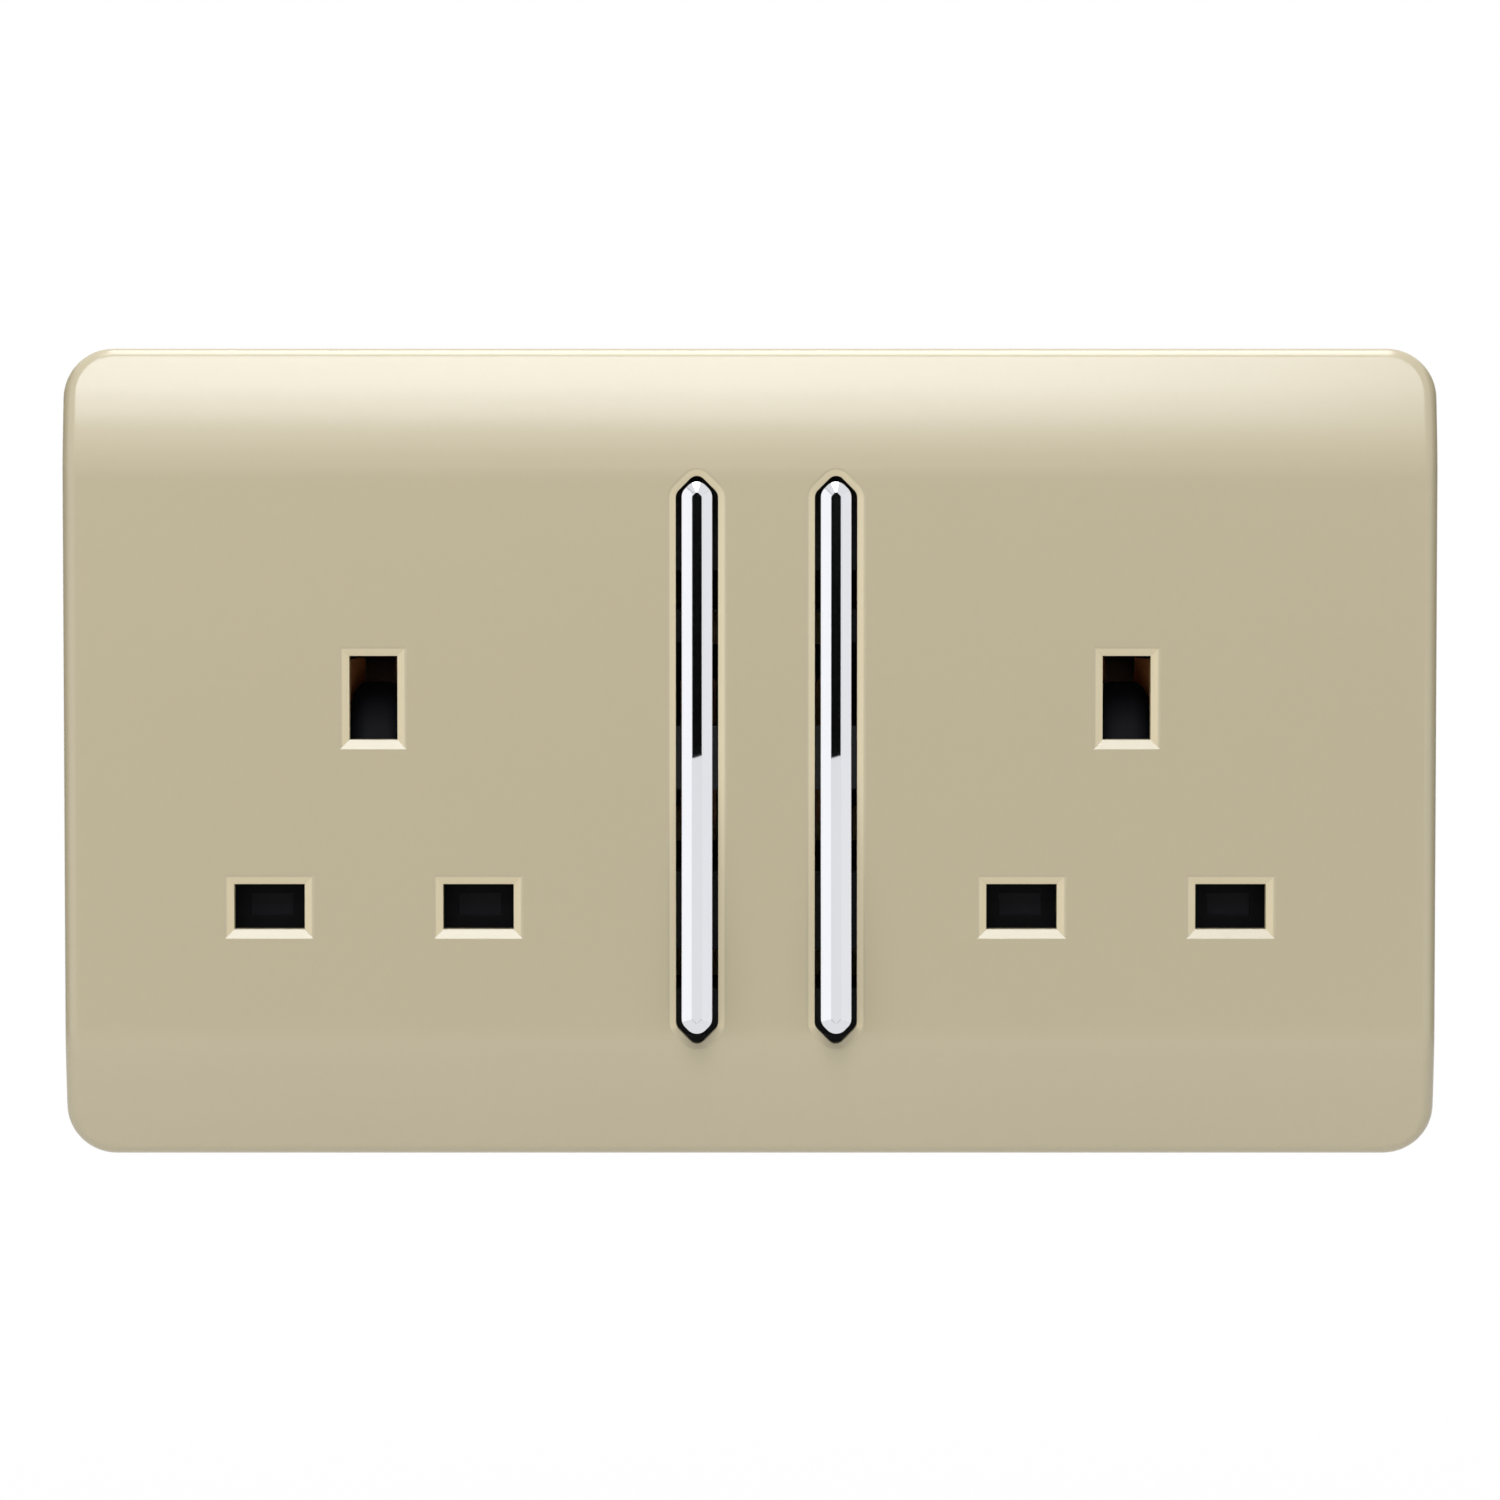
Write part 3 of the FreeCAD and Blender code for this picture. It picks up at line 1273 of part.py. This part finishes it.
def build_assembly_screws():
    seat = (housing_back + size["assembly_recess"]).value
    shank, head = size["assembly_screw"].value / 2, size["assembly_head"].value / 2
    head_height = size["assembly_recess"].value * 0.8
    slot = size["screw_slot"].value
    length = frame_inside.value + SUNK - seat
    shapes = []
    for x, z in assembly_points:
        head_foot = Vector(x.value, -seat, z.value)
        head_disc = Part.makeCylinder(head, head_height, head_foot, Y_AXIS)
        shaft = Part.makeCylinder(shank, length, head_foot, -Y_AXIS)
        across = Part.makeBox(head * 2 + OVERRUN, slot, slot)
        slot_corner = Vector(-head - OVERRUN / 2, head_height - slot, -slot / 2)
        across.translate(head_foot + slot_corner)
        shapes.append(head_disc.fuse(shaft).cut(across).removeSplitter())
    screws = document.addObject("Part::Feature", "assembly_screws")
    screws.Label = "assembly_screws"
    screws.Shape = Part.makeCompound(shapes)
    pieces.append(screws)


build_front_cover()
build_mounting_frame()
build_rear_housing()
build_conductors()
build_terminals()
build_shutters()
build_rockers()
build_levers()
build_assembly_screws()
document.recompute()

for item in document.Objects:
    if "Invalid" in item.State or "Error" in item.State:
        raise RuntimeError(f"{item.Label} failed: {item.State}")
os.makedirs("parts", exist_ok=True)
for piece in pieces:
    shape = piece.Shape
    if shape.isNull() or not shape.isValid() or not shape.Solids:
        raise RuntimeError(f"{piece.Label} has no valid solid")
    shape.exportStep(f"parts/{piece.Label}.step")
    print(f"{piece.Label}: {len(shape.Solids)} solid, {shape.Volume:.1f} mm3")
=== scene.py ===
import math

import bmesh
import bpy
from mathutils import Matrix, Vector


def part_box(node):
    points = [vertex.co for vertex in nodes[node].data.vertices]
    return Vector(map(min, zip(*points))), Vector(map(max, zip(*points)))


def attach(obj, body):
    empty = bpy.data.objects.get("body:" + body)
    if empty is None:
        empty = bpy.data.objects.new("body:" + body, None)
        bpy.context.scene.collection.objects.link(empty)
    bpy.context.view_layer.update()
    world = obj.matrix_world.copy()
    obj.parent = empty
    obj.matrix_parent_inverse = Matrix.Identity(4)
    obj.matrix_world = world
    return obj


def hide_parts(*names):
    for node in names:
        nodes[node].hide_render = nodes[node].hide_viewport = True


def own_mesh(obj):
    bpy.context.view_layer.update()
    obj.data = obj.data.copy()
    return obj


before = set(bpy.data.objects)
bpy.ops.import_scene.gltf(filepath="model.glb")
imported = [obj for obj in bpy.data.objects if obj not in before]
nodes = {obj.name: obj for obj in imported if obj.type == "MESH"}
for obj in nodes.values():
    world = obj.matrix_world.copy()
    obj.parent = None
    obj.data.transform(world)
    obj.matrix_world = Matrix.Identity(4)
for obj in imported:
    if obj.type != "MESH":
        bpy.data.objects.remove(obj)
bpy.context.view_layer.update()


# Front cover
# One glossy champagne moulding: a flat front, two bands that fall away above and below it, and a
# rounded edge. The lips of its openings that don't face up are painted paler: painted light that
# stands in for light bounced up from the pale floor. It snaps over the frame, with no fixing in
# view.


class Signal:
    """The value that a socket gives, so that shader maths reads as plain sums."""

    def __init__(self, finish, socket):
        self.finish = finish
        self.socket = socket

    def maths(self, operation, first, second):
        return self.finish.value("ShaderNodeMath", {"operation": operation}, [first, second])

    def __add__(self, other):
        return self.maths("ADD", self, other)

    __radd__ = __add__

    def __sub__(self, other):
        return self.maths("SUBTRACT", self, other)

    def __rsub__(self, other):
        return self.maths("SUBTRACT", other, self)

    def __mul__(self, other):
        return self.maths("MULTIPLY", self, other)

    __rmul__ = __mul__

    def above(self, limit, softness):
        """0 below a limit and 1 above it, with a soft step between."""
        settings = {"interpolation_type": "SMOOTHSTEP"}
        span = {"Value": self, "From Min": limit - softness, "From Max": limit + softness}
        return self.finish.value("ShaderNodeMapRange", settings, span)


class Finish:
    """One material, or the world, with one way to add its nodes."""

    def __init__(self, name, things=None):
        things = bpy.data.materials if things is None else things
        self.material = things.new(name)
        self.material.use_nodes = True
        self.tree = self.material.node_tree
        self.tree.nodes.clear()

    def node(self, kind, settings=None, values=None):
        """Add a node: first its settings, then a value or a link for each of its sockets."""
        node = self.tree.nodes.new(kind)
        for name, setting in (settings or {}).items():
            setattr(node, name, setting)
        if isinstance(values, list):
            values = dict(enumerate(values))
        for name, value in (values or {}).items():
            if isinstance(value, Signal):
                self.tree.links.new(value.socket, node.inputs[name])
            else:
                node.inputs[name].default_value = value
        return node

    def value(self, kind, settings=None, values=None, output=0):
        """Add a node and give the value of one of its outputs."""
        return Signal(self, self.node(kind, settings, values).outputs[output])

    def place(self):
        """Where a point lies on the piece, in the frame's metres."""
        return self.value("ShaderNodeTexCoord", output="Object")

    def part_of(self, vector, axis):
        """One of the three parts of a vector."""
        return self.value("ShaderNodeSeparateXYZ", None, [vector], output=axis)

    def distance(self):
        """How far a point lies from the middle of the frame."""
        settings = {"operation": "LENGTH"}
        return self.value("ShaderNodeVectorMath", settings, [self.place()], output=1)

    def stretched(self, scale):
        """The place with each direction scaled by itself."""
        settings = {"operation": "MULTIPLY"}
        return self.value("ShaderNodeVectorMath", settings, [self.place(), scale])

    def noise(self, size, detail=2.0, roughness=0.5, stretch=(1.0, 1.0, 1.0), distortion=0.0):
        """Soft noise whose patches are about a size in metres."""
        values = {
            "Vector": self.stretched(stretch),
            "Scale": 1.0 / size,
            "Detail": detail,
            "Roughness": roughness,
            "Distortion": distortion,
        }
        return self.value("ShaderNodeTexNoise", None, values)

    def blend(self, factor, first, second):
        """A colour between two. The node's sockets share names, so they are given by number."""
        first = first if isinstance(first, Signal) else (*first, 1.0)
        second = second if isinstance(second, Signal) else (*second, 1.0)
        values = {0: factor, 6: first, 7: second}
        return self.value("ShaderNodeMix", {"data_type": "RGBA"}, values, output=2)

    def relief(self, height, depth, normal=None):
        """The normal of a surface that rises by a height from 0 to 1, times a depth in metres."""
        values = {"Height": height, "Distance": depth, "Strength": 1.0}
        if normal is not None:
            values["Normal"] = normal
        return self.value("ShaderNodeBump", None, values)

    def soft_edges(self, radius):
        """The normal of the surface with its sharp edges rounded off."""
        return self.value("ShaderNodeBevel", {"samples": 6}, {"Radius": radius})

    def surface(self, **sockets):
        """Close the material with one shader, and give it back."""
        values = {name.replace("_", " "): value for name, value in sockets.items()}
        shader = self.value("ShaderNodeBsdfPrincipled", None, values)
        self.node("ShaderNodeOutputMaterial", None, {"Surface": shader})
        return self.material


def smooth_cad(thing):
    """Shade a CAD mesh smoothly inside its forms and sharply at its edges."""
    group = bpy.data.node_groups.get("form_shading") or form_shading()
    for polygon in thing.data.polygons:
        polygon.use_smooth = True
    thing.modifiers.new("form", "NODES").node_group = group
    weighted = thing.modifiers.new("flats", "WEIGHTED_NORMAL")
    weighted.keep_sharp = True
    weighted.weight = 100


def form_shading():
    """Join the faces of a form, and mark as sharp each edge that turns more than a little."""
    join_within, sharp_from = 2e-6, math.radians(18)
    group = bpy.data.node_groups.new("form_shading", "GeometryNodeTree")
    group.interface.new_socket("Geometry", in_out="INPUT", socket_type="NodeSocketGeometry")
    group.interface.new_socket("Geometry", in_out="OUTPUT", socket_type="NodeSocketGeometry")
    start = group.nodes.new("NodeGroupInput")
    end = group.nodes.new("NodeGroupOutput")
    merge = group.nodes.new("GeometryNodeMergeByDistance")
    merge.inputs["Distance"].default_value = join_within
    angle = group.nodes.new("GeometryNodeInputMeshEdgeAngle")
    compare = group.nodes.new("FunctionNodeCompare")
    compare.operation = "LESS_THAN"
    compare.inputs["B"].default_value = sharp_from
    smooth = group.nodes.new("GeometryNodeSetShadeSmooth")
    smooth.domain = "EDGE"
    group.links.new(start.outputs[0], merge.inputs["Geometry"])
    group.links.new(merge.outputs[0], smooth.inputs["Geometry"])
    group.links.new(angle.outputs["Unsigned Angle"], compare.inputs["A"])
    group.links.new(compare.outputs[0], smooth.inputs["Shade Smooth"])
    group.links.new(smooth.outputs[0], end.inputs[0])
    return group


def dress(node, material):
    """Give a CAD node its slot and its material."""
    thing = nodes[node]
    thing.data.materials.clear()
    thing.data.materials.append(material)
    smooth_cad(thing)


def champagne_plastic():
    finish = Finish("champagne gloss plastic")
    champagne, deeper, bounce_lit_tone = (0.505, 0.440, 0.297), (0.468, 0.408, 0.277), (0.65, 0.56, 0.365)
    lip_front, flat_top, flat_side = -0.00990, 0.0305, 0.065
    lip_step, band_step, side_step = 0.00005, 0.00002, 0.0001
    looks_up, looks_up_step = 0.2, 0.1
    clouds = finish.noise(0.05, detail=3.0)
    grain = finish.noise(0.0009, detail=2.0)
    flow = finish.noise(0.012, detail=3.0, stretch=(0.35, 1.0, 1.0))
    colour = finish.blend(clouds * 0.7 + grain * 0.3, champagne, deeper)
    across, depth, height = (finish.part_of(finish.place(), axis) for axis in "XYZ")
    below_band = 1.0 - (height * height).above(flat_top * flat_top, band_step)
    off_edge = 1.0 - (across * across).above(flat_side * flat_side, side_step)
    rise = finish.part_of(finish.value("ShaderNodeNewGeometry", output="Normal"), "Z")
    facing = 1.0 - rise.above(looks_up, looks_up_step)
    # Painted light: lips behind the front that don't face up take a paler tone, standing in for
    # light bounced up from the pale floor.
    bounce_lit_lip = depth.above(lip_front, lip_step) * below_band * off_edge * facing
    orange_peel = finish.relief(flow, 0.00003, finish.soft_edges(0.00012))
    return finish.surface(
        Base_Color=finish.blend(bounce_lit_lip, colour, bounce_lit_tone),
        Roughness=0.20 + grain * 0.04 + clouds * 0.03,
        Normal=finish.relief(grain, 0.0000015, orange_peel),
        IOR=1.65,
    )


dress("front_cover", champagne_plastic())


# Mounting frame
# A black moulded tray under the cover, screwed to the wall box through its two bosses. It shows
# through the gaps round the rockers, in the pin apertures, and from behind.


def moulded(name, colour, worn, roughness, texture=0.000012):
    """A moulded plastic with a fine spark-eroded texture and a little dust in it."""
    finish = Finish(name)
    pebble = finish.noise(0.0004, detail=3.0)
    flow = finish.noise(0.018, detail=4.0, stretch=(0.5, 1.0, 1.0))
    dust = finish.noise(0.006, detail=6.0, roughness=0.7).above(0.60, 0.10)
    return finish.surface(
        Base_Color=finish.blend(flow * 0.6 + dust * 0.4, colour, worn),
        Roughness=roughness + pebble * 0.10 + dust * 0.12,
        Normal=finish.relief(pebble, texture, finish.soft_edges(0.00015)),
        IOR=1.5,
    )


frame_black = moulded("black frame", (0.008, 0.008, 0.009), (0.018, 0.018, 0.020), 0.42)
dress("mounting_frame", frame_black)


# Rear housing
# A deep black moulding behind the wall face, cored out from behind and screwed to the frame. The
# four terminal screws are sunk in it, each with an entry for the conductors above or below it.


def heat_proof_moulding():
    finish = Finish("black heat-proof moulding")
    black, worn = (0.012, 0.012, 0.013), (0.024, 0.023, 0.022)
    pebble = finish.noise(0.0005, detail=3.0)
    flow = finish.noise(0.022, detail=5.0, stretch=(0.4, 1.0, 1.0))
    specks = finish.noise(0.0016, detail=1.0).above(0.74, 0.03)
    tone = finish.blend(flow, black, worn)
    return finish.surface(
        Base_Color=finish.blend(specks * 0.5, tone, (0.060, 0.056, 0.050)),
        Roughness=0.46 + pebble * 0.12,
        Normal=finish.relief(pebble, 0.000014, finish.soft_edges(0.0002)),
        IOR=1.52,
    )


dress("rear_housing", heat_proof_moulding())


# Conductors
# Strips stamped from brass, and an earth strip of copper alloy, with folded leaves that grip the
# pins. Each lies in a channel of the rear housing.


def stamped(name, bright, dull, grain_along, metal):
    """Rolled and stamped sheet metal: fine lines along the rolling, and painted shade: the colour
    turns to a dark tone with depth, from the mouths of the grips to the strips on the chamber
    floors."""
    finish = Finish(name)
    # The dark tone set here is painted shade, for surfaces deep in the housing's chambers.
    floor_depth, floor_step, most_shade, shade_tone = 0.0110, 0.003, 0.9, 0.12
    painted_shade = tuple(part * shade_tone for part in dull)
    rolled = finish.noise(0.0006, detail=4.0, stretch=grain_along)
    tarnish = finish.noise(0.004, detail=5.0, roughness=0.62)
    depth = finish.part_of(finish.place(), "Y")
    skin = finish.blend(tarnish.above(0.55, 0.22), bright, dull)
    return finish.surface(
        # Painted shade: deeper than floor_depth, the colour turns to the dark shade tone.
        Base_Color=finish.blend(depth.above(floor_depth, floor_step) * most_shade, skin, painted_shade),
        Metallic=metal,
        Roughness=0.24 + rolled * 0.14 + tarnish * 0.12,
        Normal=finish.relief(rolled, 0.000008, finish.soft_edges(0.00008)),
    )


along_x, along_z = (0.08, 1.0, 1.0), (1.0, 1.0, 0.08)
brass_sheet = stamped("stamped brass", (0.86, 0.66, 0.32), (0.62, 0.43, 0.18), along_x, 0.5)
copper_sheet = stamped("stamped copper", (1.0, 0.40, 0.14), (0.86, 0.33, 0.11), along_z, 0.15)
# The levers take a darkened copy of the copper: painted shade for where they show through the gaps
# round the rockers.
shade_darkened_copper = stamped("shade darkened copper", (0.42, 0.21, 0.11), (0.26, 0.13, 0.07), along_z, 0.6)
for bar in ("live_contact_left", "live_contact_right", "line_bar", "neutral_bar"):
    dress(bar, brass_sheet)
dress("earth_bar", copper_sheet)
for hand in ("left", "right"):
    dress(f"contact_lever_{hand}", shade_darkened_copper)


# Terminals and screws
# Machined brass pillars with a cross hole, each in a pocket of the housing and with a slotted
# clamping screw of zinc-plated steel. Four more such screws hold the housing to the frame.


def machined_brass():
    finish = Finish("machined brass")
    cutter = finish.noise(0.0003, detail=3.0, stretch=(1.0, 1.0, 0.05))
    stain = finish.noise(0.003, detail=4.0)
    return finish.surface(
        Base_Color=finish.blend(stain, (0.88, 0.70, 0.38), (0.74, 0.55, 0.26)),
        Metallic=1.0,
        Roughness=0.22 + cutter * 0.16,
        Normal=finish.relief(cutter, 0.000006, finish.soft_edges(0.0001)),
    )


def zinc_plate():
    finish = Finish("zinc plated steel")
    spangle = finish.noise(0.0005, detail=3.0, distortion=0.6)
    film = finish.noise(0.003, detail=4.0)
    return finish.surface(
        Base_Color=finish.blend(film, (0.72, 0.73, 0.74), (0.60, 0.60, 0.56)),
        Metallic=1.0,
        Roughness=0.28 + spangle * 0.16,
        Normal=finish.relief(spangle, 0.000006, finish.soft_edges(0.00008)),
    )


pillar, zinc = machined_brass(), zinc_plate()
for terminal in ("live_terminal", "neutral_terminal"):
    dress(terminal, pillar)
    dress(f"{terminal}_screw", zinc)
for hand in ("left", "right"):
    dress(f"earth_terminal_{hand}", pillar)
    dress(f"earth_terminal_screw_{hand}", zinc)
dress("assembly_screws", zinc)


# Shutters
# Black sliding mouldings behind the apertures. Each has a shallow hollow behind the live and
# neutral apertures and a smooth ramp in the earth aperture.


def shutter_plastic():
    finish = Finish("black shutter plastic")
    fine = finish.noise(0.0005, detail=3.0)
    wipes = finish.noise(0.002, detail=4.0, stretch=(1.0, 1.0, 0.15))
    hollow_depth, hollow_step = -0.0056, 0.0001
    depth = finish.part_of(finish.place(), "Y")
    hollow = (0.014, 0.014, 0.017)
    worn = finish.blend(wipes, (0.003, 0.003, 0.0035), (0.006, 0.006, 0.007))
    return finish.surface(
        Base_Color=finish.blend(depth.above(hollow_depth, hollow_step), worn, hollow),
        Roughness=0.42 + fine * 0.08 + wipes * 0.08,
        Normal=finish.relief(fine, 0.000006, finish.soft_edges(0.00025)),
        IOR=1.15,
    )


sliding_black = shutter_plastic()
for hand in ("left", "right"):
    dress(f"shutter_{hand}", sliding_black)


# Springs
# Compression springs of round steel wire: one lifts each shutter, and one pushes each plunger onto
# its lever. Each coil ends just clear of the two faces that it pushes on.


def spring_wire():
    finish = Finish("drawn spring wire")
    drawn = finish.noise(0.0004, detail=3.0)
    return finish.surface(
        Base_Color=finish.blend(drawn, (0.66, 0.66, 0.64), (0.50, 0.50, 0.48)),
        Metallic=1.0,
        Roughness=0.22 + drawn * 0.12,
    )


def wind_spring(node, body, axis, wire, turns, metal):
    """A round-wire coil that fills the same room as the plain spring of the frame, wound along the
    axis and carried by one body."""
    corners = [vertex.co for vertex in nodes[node].data.vertices]
    heights = [corner.dot(axis) for corner in corners]
    middle = sum(corners, Vector()) / len(corners)
    middle -= axis * middle.dot(axis)
    radius = max((corner - axis * corner.dot(axis) - middle).length for corner in corners)
    across = axis.orthogonal().normalized()
    up = axis.cross(across)
    low, high = min(heights) + wire, max(heights) - wire
    points_a_turn = 24
    steps = turns * points_a_turn
    curve = bpy.data.curves.new(f"{node}_coil", "CURVE")
    curve.dimensions = "3D"
    curve.bevel_depth = wire / 2
    curve.bevel_resolution = 3
    curve.use_fill_caps = True
    spline = curve.splines.new("POLY")
    spline.points.add(steps)
    for step, point in enumerate(spline.points):
        angle = 2 * math.pi * turns * step / steps
        turn = (across * math.cos(angle) + up * math.sin(angle)) * (radius - wire)
        point.co = (*(middle + turn + axis * (low + (high - low) * step / steps)), 1.0)
    spline.use_smooth = True
    curve.materials.append(metal)
    path = bpy.data.objects.new(f"{node}_path", curve)
    coil = bpy.data.objects.new(f"{node}_coil", bpy.data.meshes.new_from_object(path))
    bpy.data.objects.remove(path)
    bpy.context.scene.collection.objects.link(coil)
    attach(coil, body)
    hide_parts(node)
    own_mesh(coil)


drawn_wire = spring_wire()
plunger_tilt = math.radians(3)
upright = Vector((0, 0, 1))
inwards = Vector((0, math.cos(plunger_tilt), -math.sin(plunger_tilt)))
for hand in ("left", "right"):
    wind_spring(
        f"shutter_spring_{hand}",
        "base",
        axis=upright,
        wire=0.00030,
        turns=9,
        metal=drawn_wire,
    )
    wind_spring(
        f"plunger_spring_{hand}",
        f"rocker_{hand}",
        axis=inwards,
        wire=0.00028,
        turns=7,
        metal=drawn_wire,
    )


# Rockers
# Each has a chrome-plated cap with a narrow flat facet between two bevels, pressed onto a black
# nylon carrier. It turns on two pins in the frame, and a sprung white plunger slides in its stem.


def chrome_plate():
    finish = Finish("bright chrome plate")
    haze = finish.noise(0.004, detail=4.0, stretch=(1.0, 1.0, 0.4))
    fine = finish.noise(0.0005, detail=2.0)
    return finish.surface(
        Base_Color=finish.blend(haze, (0.74, 0.75, 0.78), (0.70, 0.71, 0.74)),
        Metallic=1.0,
        Roughness=0.03 + haze * 0.03,
        Normal=finish.relief(fine, 0.0000006, finish.soft_edges(0.0001)),
    )


chrome = chrome_plate()
black_nylon = moulded("black nylon", (0.010, 0.010, 0.011), (0.020, 0.020, 0.021), 0.38)
natural_nylon = moulded("natural nylon", (0.62, 0.60, 0.54), (0.52, 0.50, 0.43), 0.38)
for hand in ("left", "right"):
    dress(f"rocker_cap_{hand}", chrome)
    dress(f"rocker_carrier_{hand}", black_nylon)
    dress(f"plunger_{hand}", natural_nylon)


# Studio
# A pale floor under the object, and soft lamps above and at both sides. The camera doesn't see the
# dark cards behind it, at both sides and behind the side lamps, but the chrome and gloss do.


def flat_card(name, centre, across, up, material):
    """An upright or level rectangle about a centre, given by its two half sides."""
    mesh = bpy.data.meshes.new(name)
    built = bmesh.new()
    corners = [(-1, -1), (1, -1), (1, 1), (-1, 1)]
    built.faces.new([built.verts.new(centre + across * a + up * b) for a, b in corners])
    built.to_mesh(mesh)
    built.free()
    mesh.materials.append(material)
    card = bpy.data.objects.new(name, mesh)
    bpy.context.scene.collection.objects.link(card)
    return card


def pale_floor():
    finish = Finish("pale studio floor")
    shadow_reach, shadow_step, shadow_kept = 0.5, 0.2, 0.03
    light_path = finish.node("ShaderNodeLightPath")
    seen = Signal(finish, light_path.outputs["Is Camera Ray"])
    mirrored = Signal(finish, light_path.outputs["Is Glossy Ray"])
    through = Signal(finish, light_path.outputs["Is Transmission Ray"])
    paper = finish.noise(0.02, detail=3.0)
    tone = finish.blend(paper, (0.80, 0.79, 0.77), (0.76, 0.75, 0.73))
    matte = finish.value("ShaderNodeBsdfDiffuse", None, {"Color": tone})
    white = finish.value("ShaderNodeEmission", None, {"Color": (1, 1, 1, 1), "Strength": 1.0})
    faded = finish.distance().above(shadow_reach, shadow_step)
    shown = (seen + mirrored + through) * (1.0 - shadow_kept + faded * shadow_kept)
    mixed = finish.value("ShaderNodeMixShader", None, [shown, matte, white])
    finish.node("ShaderNodeOutputMaterial", None, {"Surface": mixed})
    return finish.material


def black_felt():
    finish = Finish("dark studio card")
    nap = finish.noise(0.01, detail=2.0)
    return finish.surface(
        Base_Color=finish.blend(nap, (0.004, 0.004, 0.004), (0.007, 0.007, 0.007)),
        Roughness=0.9,
        Specular_IOR_Level=0.0,
    )


floor_level = -0.16
flat_card("floor", Vector((0, 0, floor_level)), Vector((3, 0, 0)), Vector((0, 3, 0)), pale_floor())
felt = black_felt()
behind_camera = Vector((0, -1.0, -0.07)), Vector((0.26, 0, 0)), Vector((0, 0, 0.115))
at_left = Vector((-0.9, 0.5, 0.3)), Vector((0, 0.7, 0)), Vector((0, 0, 0.45))
at_right = Vector((0.9, 0.5, 0.3)), Vector((0, 0.7, 0)), Vector((0, 0, 0.45))
for name, place in (("dark_card", behind_camera), ("left_card", at_left), ("right_card", at_right)):
    flat_card(name, *place, felt).visible_camera = False


def soft_lamp(name, azimuth, elevation, distance, width, height, radiance, colour=(1, 1, 1)):
    """A rectangular soft lamp that faces the object, as bright as its radiance says."""
    lamp = bpy.data.lights.new(name, "AREA")
    lamp.shape = "RECTANGLE"
    lamp.size, lamp.size_y = width, height
    lamp.energy = radiance * math.pi * width * height
    lamp.color = colour
    thing = bpy.data.objects.new(name, lamp)
    side, rise = math.radians(azimuth), math.radians(elevation)
    outwards = Vector((
        math.sin(side) * math.cos(rise), -math.cos(side) * math.cos(rise), math.sin(rise)
    ))
    thing.location = outwards * distance
    thing.rotation_euler = outwards.to_track_quat("Z", "Y").to_euler()
    bpy.context.scene.collection.objects.link(thing)
    return thing


soft_lamp(
    "top_lamp",
    azimuth=-4,
    elevation=41,
    distance=1.1,
    width=0.50,
    height=0.52,
    radiance=6.8,
    colour=(0.93, 0.96, 1.0),
)
soft_lamp("high_lamp", azimuth=-2, elevation=92, distance=1.1, width=0.5, height=1.0, radiance=6.0)
left_lamp = soft_lamp(
    "left_lamp", azimuth=-52, elevation=6, distance=1.2, width=0.9, height=1.1, radiance=1.25
)
right_lamp = soft_lamp(
    "right_lamp", azimuth=52, elevation=6, distance=1.2, width=0.6, height=0.8, radiance=1.05
)
further, half_and_a_rim = 1.05, 0.53
for lamp in (left_lamp, right_lamp):
    turn = lamp.rotation_euler.to_matrix()
    across = turn.col[0] * lamp.data.size * half_and_a_rim
    up = turn.col[1] * lamp.data.size_y * half_and_a_rim
    backing = flat_card("lamp_backing", lamp.location * further, across, up, felt)
    backing.visible_camera = backing.visible_diffuse = backing.visible_shadow = False


def studio_world():
    """White where it is seen or mirrored, and a plain soft light on everything else."""
    finish = Finish("studio", bpy.data.worlds)
    fill = 0.30
    spread = finish.value("ShaderNodeLightPath", output="Is Diffuse Ray")
    values = {"Color": (1, 1, 1, 1), "Strength": 1.0 - spread * (1.0 - fill)}
    background = finish.value("ShaderNodeBackground", None, values)
    finish.node("ShaderNodeOutputWorld", None, {"Surface": background})
    bpy.context.scene.world = finish.material


studio_world()
bpy.context.scene.view_settings.view_transform = "Standard"


# Camera
# As the photograph was taken: square on, about 3 degrees above the middle of the plate. The
# photograph is square, and the edges and the middle of its plate are given in its pixels.

photo_side = 1500
plate_left, plate_right, plate_middle = 62, 1437, 754
cover_low, cover_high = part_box("front_cover")
cover_width = cover_high.x - cover_low.x
metres_a_pixel = cover_width / (plate_right - plate_left)
camera_distance, camera_rise = 0.69, math.radians(3)
camera_data = bpy.data.cameras.new("photo_camera")
camera_data.sensor_fit = "HORIZONTAL"
camera_data.sensor_width = 36.0
seen_width = photo_side * metres_a_pixel
camera_data.lens = camera_data.sensor_width * camera_distance / seen_width
camera_data.clip_start = 0.01
camera = bpy.data.objects.new("photo_camera", camera_data)
backwards = Vector((0, -math.cos(camera_rise), math.sin(camera_rise)))
plate_centre = Vector((0, cover_low.y, 0))
plate_centre.z += (plate_middle - photo_side / 2) * metres_a_pixel
camera.location = plate_centre + backwards * camera_distance
camera.rotation_euler = backwards.to_track_quat("Z", "Y").to_euler()
bpy.context.scene.collection.objects.link(camera)
bpy.context.scene.camera = camera
